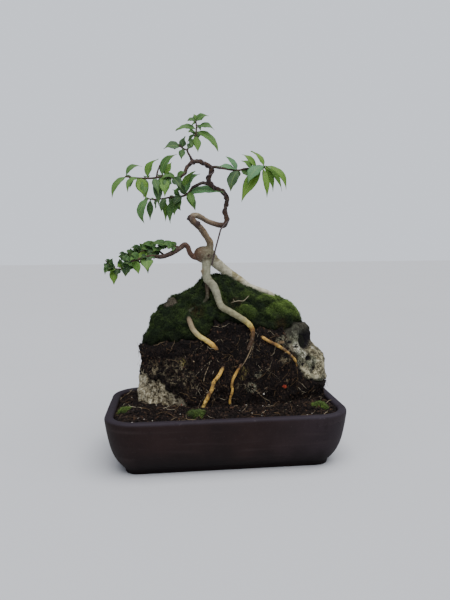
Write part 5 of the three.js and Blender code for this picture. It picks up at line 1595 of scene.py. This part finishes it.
# Each limb: rows, how knobbly its bark is, how much fuller it is than its rows at its start and its end, and
# its colours from start to end as shares of its rows. The stubs of old branches and roots come last.
LIMBS = [
    (FRONT_ROOT, 0.15, (0.55, -0.1), [
        (0, PALE), (0.3, PALE), (0.48, (142, 137, 102)), (0.53, GOLD_PALE), (0.56, GOLD_DULL),
        (0.6, (98, 70, 38)), (0.64, (66, 48, 32)), (0.76, BROWN), (0.79, GOLD_DULL), (0.82, GOLD),
        (0.86, (112, 80, 46)), (0.89, GOLD), (0.95, GOLD_DULL), (0.97, GOLD), (1, GOLD)]),
    (LEFT_ROOT, 0.15, (0.3, 0.1), [
        (0, BROWN), (0.05, (64, 50, 36)), (0.2, (40, 44, 26)), (0.31, (40, 46, 26)),
        (0.34, (120, 104, 84)), (0.42, (158, 146, 112)), (0.48, GOLD_PALE), (0.54, GOLD), (0.57, GOLD_DULL),
        (0.62, BROWN), (0.7, BROWN), (0.73, GOLD), (0.8, GOLD), (0.82, (92, 64, 40)), (0.84, GOLD),
        (0.88, (104, 72, 44)), (0.9, GOLD), (1, GOLD_PALE)]),
    (RIGHT_ROOT, 0.55, (0.15, 0.0), [
        (0, BROWN), (0.12, GOLD_DULL), (0.24, (198, 156, 80)), (0.36, (104, 76, 42)), (0.44, GOLD_DULL),
        (0.52, GOLD), (0.6, (98, 72, 40)), (0.7, (180, 140, 74)), (0.78, (90, 66, 38)), (0.86, GOLD),
        (1, (94, 68, 40))]),
    (BACK_ROOT, 0.15, (0.8, 0.8), [
        (0, PALE), (0.1, (172, 168, 144)), (0.45, (188, 184, 160)), (0.53, (150, 140, 100)),
        (0.58, PALE_WARM), (0.85, PALE_WARM), (1, GREY_TAN)]),
    (TRUNK, 0.3, (0.45, 0.45), [
        (0, PALE), (0.06, TAN), (0.1, TAN), (0.15, BROWN), (0.17, (102, 84, 64)), (0.2, BROWN),
        (0.215, (146, 132, 110)), (0.3, (138, 120, 98)), (0.34, (112, 92, 74)), (0.37, BROWN),
        (0.42, BROWN), (0.5, DARK), (0.7, DARK), (1, BROWN)]),
    (LOW_BRANCH, 0.25, (0.35, 0.35), [
        (0, TAN), (0.12, (86, 60, 47)), (0.5, (84, 58, 46)), (0.65, BROWN), (1, DARK)]),
    (SECOND_BRANCH, 0.4, (0.3, 0.3), [(0, DARK), (1, DARK)]),
    (RIGHT_BRANCH, 0.4, (0.3, 0.3), [(0, DARK), (1, DARK)]),
    (APEX_BRANCH, 0.4, (0.3, 0.3), [(0, DARK), (1, DARK)]),
    ([(-31, -6, 244.6, 2.6), (-35.6, -6.6, 247, 2.4)], 0.3, (0.3, 0.3), [(0, BROWN), (1, DARK)]),
    ([(-26, -5.6, 239.4, 2.2), (-24.4, -8.6, 242, 1.7)], 0.3, (0.3, 0.3), [(0, BROWN), (1, DARK)]),
    ([(11.6, 5.6, 186.6, 2.6), (13, 3.6, 190, 2.2)], 0.2, (0.4, 0.4), [(0, PALE), (1, (150, 140, 100))]),
    ([(-14, 0, 211, 4.4), (-8.6, 0.6, 208.6, 4)], 0.1, (0.4, 0.4), [(0, PALE), (1, PALE)]),
    ([(-9.6, 0.4, 206, 2.6), (-6.4, -2, 207.6, 1.9)], 0.1, (0.3, 0.3), [(0, PALE), (1, (136, 126, 100))]),
    ([(-18, -5.6, 193.4, 2.8), (-22.8, -6.4, 191.8, 1.7)], 0.1, (0.3, 0.3), [(0, PALE), (1, TAN)]),
]


def limb_colour(stops, shares):
    keys = [place for place, _ in stops]
    colours = np.array([srgb(*colour) for _, colour in stops])
    return np.stack([np.interp(shares, keys, colours[:, k]) for k in range(3)], axis=1)


def lump_shell():
    """The swollen ball at the foot of the trunk."""
    sides, levels = 32, 20
    middle = LUMP + (-0.7, 0, -0.8)
    turn = turns(sides)
    rings = []
    for level in range(1, levels):
        lift = math.pi * level / levels
        rings.append(middle + LUMP_RADIUS * np.stack([
            1.1 * math.sin(lift) * np.cos(turn), 0.95 * math.sin(lift) * np.sin(turn),
            np.full(sides, -0.92 * math.cos(lift)),
        ], axis=1))
    reach = np.array((0, 0, LUMP_RADIUS * 0.92))
    return np.vstack([*rings, middle - reach, middle + reach]), skin_faces(len(rings), sides)


def worked_in(paint, share, colour):
    """The paint of each point, turned by its share to a colour of its own or to one for all."""
    share = share[:, None]
    return paint * (1 - share) + share * colour


def nearest_bark(places, samples, colours, knobbly):
    """Colour and roughness of each place, from the limbs' nearest places."""
    tree = KDTree(len(samples))
    for i, sample in enumerate(samples):
        tree.insert(Vector(sample), i)
    tree.balance()
    paint, rough = np.ones((len(places), 4)), np.empty(len(places))
    for i, place in enumerate(places):
        found = tree.find_n(Vector(place), 3)
        weights = np.array([1 / (0.4 + d) for _, _, d in found])
        paint[i, :3] = sum(w * colours[k] for w, (_, k, _) in zip(weights, found)) / weights.sum()
        rough[i] = knobbly[found[0][1]]
    return paint, rough


def make_wood(finish):
    """All limbs run together in one skin, smoothed where they join."""
    shells, samples, colours, knobbly = [], [], [], []
    for rows, rough, fuller, stops in LIMBS:
        points, radii, shares = route(rows, LIMB_SPACING)
        swell = 1 + (0.05 + 0.22 * rough) * fractal(points, 4.5, 2, 14)
        added = fuller[0] + (fuller[1] - fuller[0]) * rise(0.45, 0.62, shares)
        shells.append(tube(points, radii * swell + added, LIMB_SIDES))
        samples.extend(points)
        colours.extend(limb_colour(stops, shares))
        if rows is TRUNK:
            rough = rough + 0.5 * rise(0.36, 0.44, shares)
        elif rows is FRONT_ROOT or rows is LEFT_ROOT:
            rough = rough + 0.42 * rise(0.5, 0.6, shares)
        knobbly.extend(np.full(len(points), rough))
    vertices, faces = merge([*shells, lump_shell()])
    wood = show("tree_wood_grown", make_mesh("tree_wood_grown", vertices, faces, [finish]))
    worked(wood, "REMESH", mode="VOXEL", voxel_size=SKIN_CELL * MM)
    mesh = worked(wood, "SMOOTH", factor=SKIN_SMOOTHING, iterations=SKIN_ROUNDS)

    places = np.array([vertex.co[:] for vertex in mesh.vertices]) / MM
    normals = np.array([vertex.normal[:] for vertex in mesh.vertices])
    paint, rough = nearest_bark(places, samples, colours, knobbly)
    # The lump is browner and darker on its left, partly its own colour and partly painted shade, and darker
    # towards its bottom with painted shade.
    lump_left = fall(-26, -16, places[:, 0])
    lump_paint = np.outer(1 - lump_left, srgb(112, 105, 84)) + np.outer(lump_left, srgb(88, 68, 50))
    lump_paint *= (1 - 0.35 * fall(-11, -4, places[:, 2] - LUMP[2]))[:, None]
    from_lump = np.linalg.norm(places - LUMP, axis=1)
    paint = worked_in(paint, fall(LUMP_RADIUS * 0.9, LUMP_RADIUS * 1.25, from_lump), lump_paint)
    away = np.linalg.norm(places - KNOT_SCAR, axis=1)
    ring = np.exp(-((away - 2.3) / 0.8) ** 2)
    scar = fall(0.8, 2.6, away)
    paint = worked_in(paint, 0.75 * scar, srgb(82, 54, 44))
    # Painted shade: bark that faces downwards, higher than 214 mm, is darker.
    underside_shade = fall(-0.6, 0.25, normals[:, 2]) * rise(214, 221, places[:, 2])
    paint[:, :3] *= (1 - 0.45 * underside_shade)[:, None]
    bark = 0.14 * fractal(places, 2.2, 3, 15) + 0.5 * rough * fractal(places, 2.6, 3, 16)
    wrinkles = np.sin(places[:, 2] * 1.9 + 3 * fractal(places, 9, 2, 17))
    push = bark + 0.06 * wrinkles + 0.5 * ring - 0.9 * scar
    mesh.vertices.foreach_set("co", ((places + normals * push[:, None]) * MM).ravel())
    mesh.update()
    add_values(mesh, "bark", paint, "FLOAT_COLOR")
    add_values(mesh, "roughness", np.clip(rough, 0, 1))
    mesh.shade_smooth()
    mesh.materials.clear()
    mesh.materials.append(finish)
    settle(wood, "bark_pale", "tree_wood")


def make_wire(finish, strand):
    """A stay up to the elbow, then turns round the dark upper trunk."""
    spacing = 0.5
    points, radii, _ = route(TRUNK[WIRE_FIRST_ROW:WIRE_LAST_ROW], spacing)
    step_length = WIRE_TURN / WIRE_STEPS
    steps = int(((len(points) - 1) * spacing) / step_length)
    path = list(route(WIRE_STAY, 1.0)[0][:-3])
    side = np.array((-1, -0.6, 0))
    for s in range(steps + 1):
        place = min(s * step_length / spacing, len(points) - 2)
        low = int(place)
        centre = points[low] + (points[low + 1] - points[low]) * (place - low)
        along = unit(points[min(low + 4, len(points) - 1)] - points[max(low - 4, 0)])
        side = unit(side - along * side.dot(along))
        other = np.cross(along, side)
        turn = WIRE_PHASE + s / WIRE_STEPS * 2 * math.pi
        reach = radii[low] + WIRE_RADIUS + WIRE_CLEARANCE
        path.append(centre + side * reach * math.cos(turn) + other * reach * math.sin(turn))
    smooth = route(path, WIRE_SPACING)[0]
    wire = strands("training_wire_wound", [(smooth, [WIRE_RADIUS] * len(smooth), 0.5)], 10, strand, finish)
    settle(wire, "wire_brown", "training_wire")


# Leaves

def seeded(seed):
    """Small generator of chances that gives the same run for the same seed."""
    full = 0xFFFFFFFF
    state = [seed]

    def draw():
        state[0] = (state[0] + 0x6D2B79F5) & full
        s = state[0]
        t = ((s ^ (s >> 15)) * (1 | s)) & full
        t = ((t + (((t ^ (t >> 7)) * (61 | t)) & full)) & full) ^ t
        return (t ^ (t >> 14)) / 4294967296
    return draw


LEAF_STATIONS = np.array([0, 0.05, 0.1, 0.15, 0.22, 0.3, 0.4, 0.5, 0.6, 0.7, 0.79, 0.87, 0.93, 0.975])
LEAF_ACROSS = np.array([-1, -0.72, -0.36, 0, 0.36, 0.72, 1])
LEAF_THICKNESS = 0.42
PETIOLE = 0.42
LEAF_FULLNESS = 1.02
LEAF_FOLD = 0.16
LEAF_RIPPLE = 0.07
LEAF_FLUTTER = 0.035


def leaf_width(share, blunt):
    """Half width along the blade: a short stalk, the widest part before the middle, a drawn out tip."""
    run = np.clip((share - 0.07) / 0.93, 0, 1)
    body = np.sin(math.pi * run ** (0.74 + 0.06 * blunt)) ** (0.92 - 0.12 * blunt)
    return body * (1 - (0.5 - 0.25 * blunt) * rise(0.55, 0.95, share))


def leaf(base, reach, width, arch, chance, blunt):
    """Vertices, faces and values of one leaf, folded along its rib, waved, and arched up and over."""
    length = np.linalg.norm(reach)
    chord = reach / length
    upward = unit(np.array((0, 0, 1.0)) - chord * chord[2])
    facing = np.array(((chance() - 0.5) * 0.7, -1.0, 0.5 + (chance() - 0.5) * 0.5)) + upward * 0.12
    wave = chance() * 2 * math.pi
    rings, values = [], []
    for share in LEAF_STATIONS:
        rib = base + chord * length * share + upward * arch * length * 4 * share * (1 - share)
        along = unit(chord + upward * arch * 4 * (1 - 2 * share))
        normal = unit(facing - along * facing.dot(along))
        side = np.cross(along, normal)
        half = max(leaf_width(share, blunt) * width * LEAF_FULLNESS / 2, PETIOLE * (1 - 0.6 * share))
        stalk = fall(0.06, 0.14, share)
        thick = LEAF_THICKNESS * (1 - stalk) + PETIOLE * 1.6 * stalk
        ripple = LEAF_RIPPLE * width * math.sin(share * 9 + wave)
        flutter = LEAF_FLUTTER * width * math.sin(share * 24 + wave * 2)
        top, under = [], []
        for across in LEAF_ACROSS:
            fold = LEAF_FOLD * half * abs(across) * (1 - stalk)
            bend = fold + (-ripple * across + flutter * abs(across) ** 3) * (1 - stalk)
            crown = thick / 2 * math.sqrt(max(0, 1 - 0.8 * across * across))
            middle = rib + side * half * across + normal * bend
            top.append(middle + normal * crown)
            under.append(middle - normal * crown)
        rings.append(np.array(top + under[-2:0:-1]))
        values += [(share, across) for across in LEAF_ACROSS]
        values += [(share, across) for across in LEAF_ACROSS[-2:0:-1]]
    vertices = np.vstack([*rings, base, base + reach])
    values += [(0, 0), (1, 0)]
    sides = len(rings[0])
    under_side = np.tile([0.0] * len(LEAF_ACROSS) + [1.0] * (sides - len(LEAF_ACROSS)), len(rings))
    return vertices, skin_faces(len(rings), sides), np.array(values), np.append(under_side, (0.5, 0.5))


def twig_place(rows, share):
    place = share * (len(rows) - 1)
    low = min(int(place), len(rows) - 2)
    here, following = np.array(rows[low][:3], dtype=float), np.array(rows[low + 1][:3], dtype=float)
    return here + (following - here) * (place - low)


def make_spray(name, seed, size, twigs, finishes):
    """One leafy stem: its twigs and their leaves, set out twig by twig."""
    chance, mixing = seeded(seed), random.Random(seed)
    blunt = SMALL_LEAF_BLUNTNESS if size else 0.0
    shells, leaf_values, under, material = [], [], [], []
    for rows, pairs, leaves in twigs:
        points, radii, _ = route(rows, 1.2)
        vertices, faces = tube(points, radii * (1 + 0.12 * fractal(points, 3, 2, 18)), 8)
        shells.append((vertices, faces))
        material += [1] * len(faces)
        leaf_values += [(0, 0, 0)] * len(vertices)
        under += [0] * len(vertices)
        if pairs:
            leaves = leaves + paired_leaves(pairs, size, chance, mixing) + loose_leaves(size, mixing)
        for share, *reach, width, arch, tone_and_painted_light in leaves:
            base, reach = twig_place(rows, share), np.array(reach, dtype=float)
            vertices, faces, values, below = leaf(base, reach, width, arch, chance, blunt)
            shells.append((vertices, faces))
            material += [0] * len(faces)
            leaf_values += [(s, a, tone_and_painted_light) for s, a in values]
            under += list(below)
    vertices, faces = merge(shells)
    mesh = make_mesh(name + "_leaves", vertices, faces, [finishes["leaf"], finishes["twig"]])
    mesh.polygons.foreach_set("material_index", material)
    add_values(mesh, "leaf", leaf_values, "FLOAT_VECTOR")
    add_values(mesh, "under", under)
    settle(show(name + "_leaves", mesh), "leaf_green", name)


def paired_leaves(pairs, size, chance, mixing):
    """Small leaves in pairs along the twig, most of them dark."""
    rows = []
    for i in range(pairs):
        share = 0.22 + 0.74 * i / (pairs - 1)
        for side in (-1, 1):
            length = size[0] + (size[1] - size[0]) * chance()
            lift = -0.7 + 1.4 * chance()
            spread = 0.75 + 0.5 * chance()
            reach = unit(np.array((-0.55, side * spread, lift))) * length
            width = length * (0.5 + 0.16 * chance())
            rows.append((share, *reach, width, SMALL_LEAF_ARCH, mixing.uniform(0.04, 0.52)))
    return rows


def loose_leaves(size, mixing):
    """Small leaves all round the twig that fill the gaps between the others."""
    rows = []
    for _ in range(LOOSE_LEAVES):
        length = mixing.uniform(size[0] * 0.6, size[1] * 1.1)
        turn = mixing.uniform(0, 2 * math.pi)
        lift = 0.45 * math.sin(turn) - 0.2
        reach = unit(np.array((mixing.uniform(-1.0, 0.3), math.cos(turn) * 0.9, lift))) * length
        rows.append((
            mixing.uniform(0.1, 1), *reach, length * mixing.uniform(0.58, 0.72), mixing.uniform(0.05, 0.16),
            mixing.uniform(0.03, 0.48),
        ))
    return rows


# Studio

def hang(name, data, place, turn, **settings):
    """A camera or a lamp at its place in the scene."""
    with_settings(data, **settings)
    return with_settings(show(name, data), location=place, rotation_euler=turn)


def make_camera():
    turn = Matrix.Rotation(math.radians(-CAMERA_TURN), 3, "Z")
    tilt = Matrix.Rotation(math.radians(90 - CAMERA_TILT), 3, "X")
    roll = Matrix.Rotation(math.radians(CAMERA_ROLL), 3, "Z")
    bpy.context.scene.camera = hang(
        "camera", bpy.data.cameras.new("camera"), CAMERA_PLACE, (turn @ tilt @ roll).to_euler(),
        sensor_fit="AUTO", sensor_width=SENSOR, lens=FOCAL_PIXELS / PHOTO_HEIGHT * SENSOR,
    )


def make_studio():
    """A pale room, bright to look at: one wide soft light overhead, a weak lamp and some light all round."""
    world = bpy.data.worlds.new("pale_room")
    bpy.context.scene.world = world
    world.use_nodes = True
    world.node_tree.nodes.clear()
    room = Sheet(world.node_tree)
    seen = room.node("ShaderNodeLightPath").out("Is Camera Ray")
    around = room.node("ShaderNodeBackground", {}, Color=srgb(222, 228, 238), Strength=ROOM_LIGHT)
    backdrop = room.node("ShaderNodeBackground", {}, Color=srgb(214, 219, 228), Strength=BACKDROP_LIGHT)
    mixed = room.node("ShaderNodeMixShader", {}, seen, around, backdrop)
    room.node("ShaderNodeOutputWorld", {}, Surface=mixed)

    hang(
        "wide_overhead", bpy.data.lights.new("wide_overhead", "SUN"), (0, 0, 0),
        [math.radians(angle) for angle in SUN_LEAN],
        energy=SUN_STRENGTH, angle=math.radians(SUN_WIDTH), color=SUN_COLOUR,
    )
    facing = (Vector(LAMP_TARGET) - Vector(LAMP_PLACE)).to_track_quat("-Z", "Y")
    hang(
        "front_left", bpy.data.lights.new("front_left", "AREA"), LAMP_PLACE, facing.to_euler(),
        shape="DISK", size=LAMP_WIDTH, energy=LAMP_POWER, color=LAMP_COLOUR,
    )

    floor = bpy.data.meshes.new("floor")
    corners = [(x * FLOOR_REACH, y * FLOOR_REACH, 0) for x, y in ((-1, -1), (1, -1), (1, 1), (-1, 1))]
    floor.from_pydata(corners, [], [(0, 1, 2, 3)])
    f = Finish("pale_floor")
    f.colour = f.blend(f.grain(300, 2), (202, 204, 210), (206, 208, 214))
    floor.materials.append(f.surface(0.9, shine=0.1))
    show("floor", floor)


def make_all():
    finishes = {
        "clay": clay_finish(), "rock": rock_finish(), "peat": peat_finish(), "moss_mat": moss_mat_finish(),
        "moss_shoots": moss_shoot_finish(), "bark": bark_finish(), "wire": wire_finish(),
        "leaf": leaf_finish(), "twig": twig_finish(), "soil": soil_finish(), "crumbs": crumb_finish(),
        "fibres": fibre_finish(),
        "specks": plain_finish("white_specks", (150, 144, 134), (214, 210, 202), 0.8),
        "bit_red": plain_finish("red_bark", (96, 34, 24), (176, 66, 42), 0.7),
        "bit_pale": plain_finish("pale_chip", (112, 96, 74), (182, 162, 130), 0.8),
        "bit_white": plain_finish("white_grit", (206, 200, 190), (238, 236, 230), 0.8),
        "bit_tan": plain_finish("tan_stone", (70, 56, 40), (142, 122, 92), 0.9),
    }
    scatter, strand = scatter_tree(), strand_tree()
    make_camera()
    make_pot(finishes["clay"])
    make_soil(finishes, scatter)
    make_soil_moss(finishes, scatter)
    make_mound(finishes, scatter, strand)
    make_wood(finishes["bark"])
    make_wire(finishes["wire"], strand)
    for name, (seed, size, twigs) in SPRAYS.items():
        make_spray(name, seed, size, twigs, finishes)
    make_studio()


make_all()
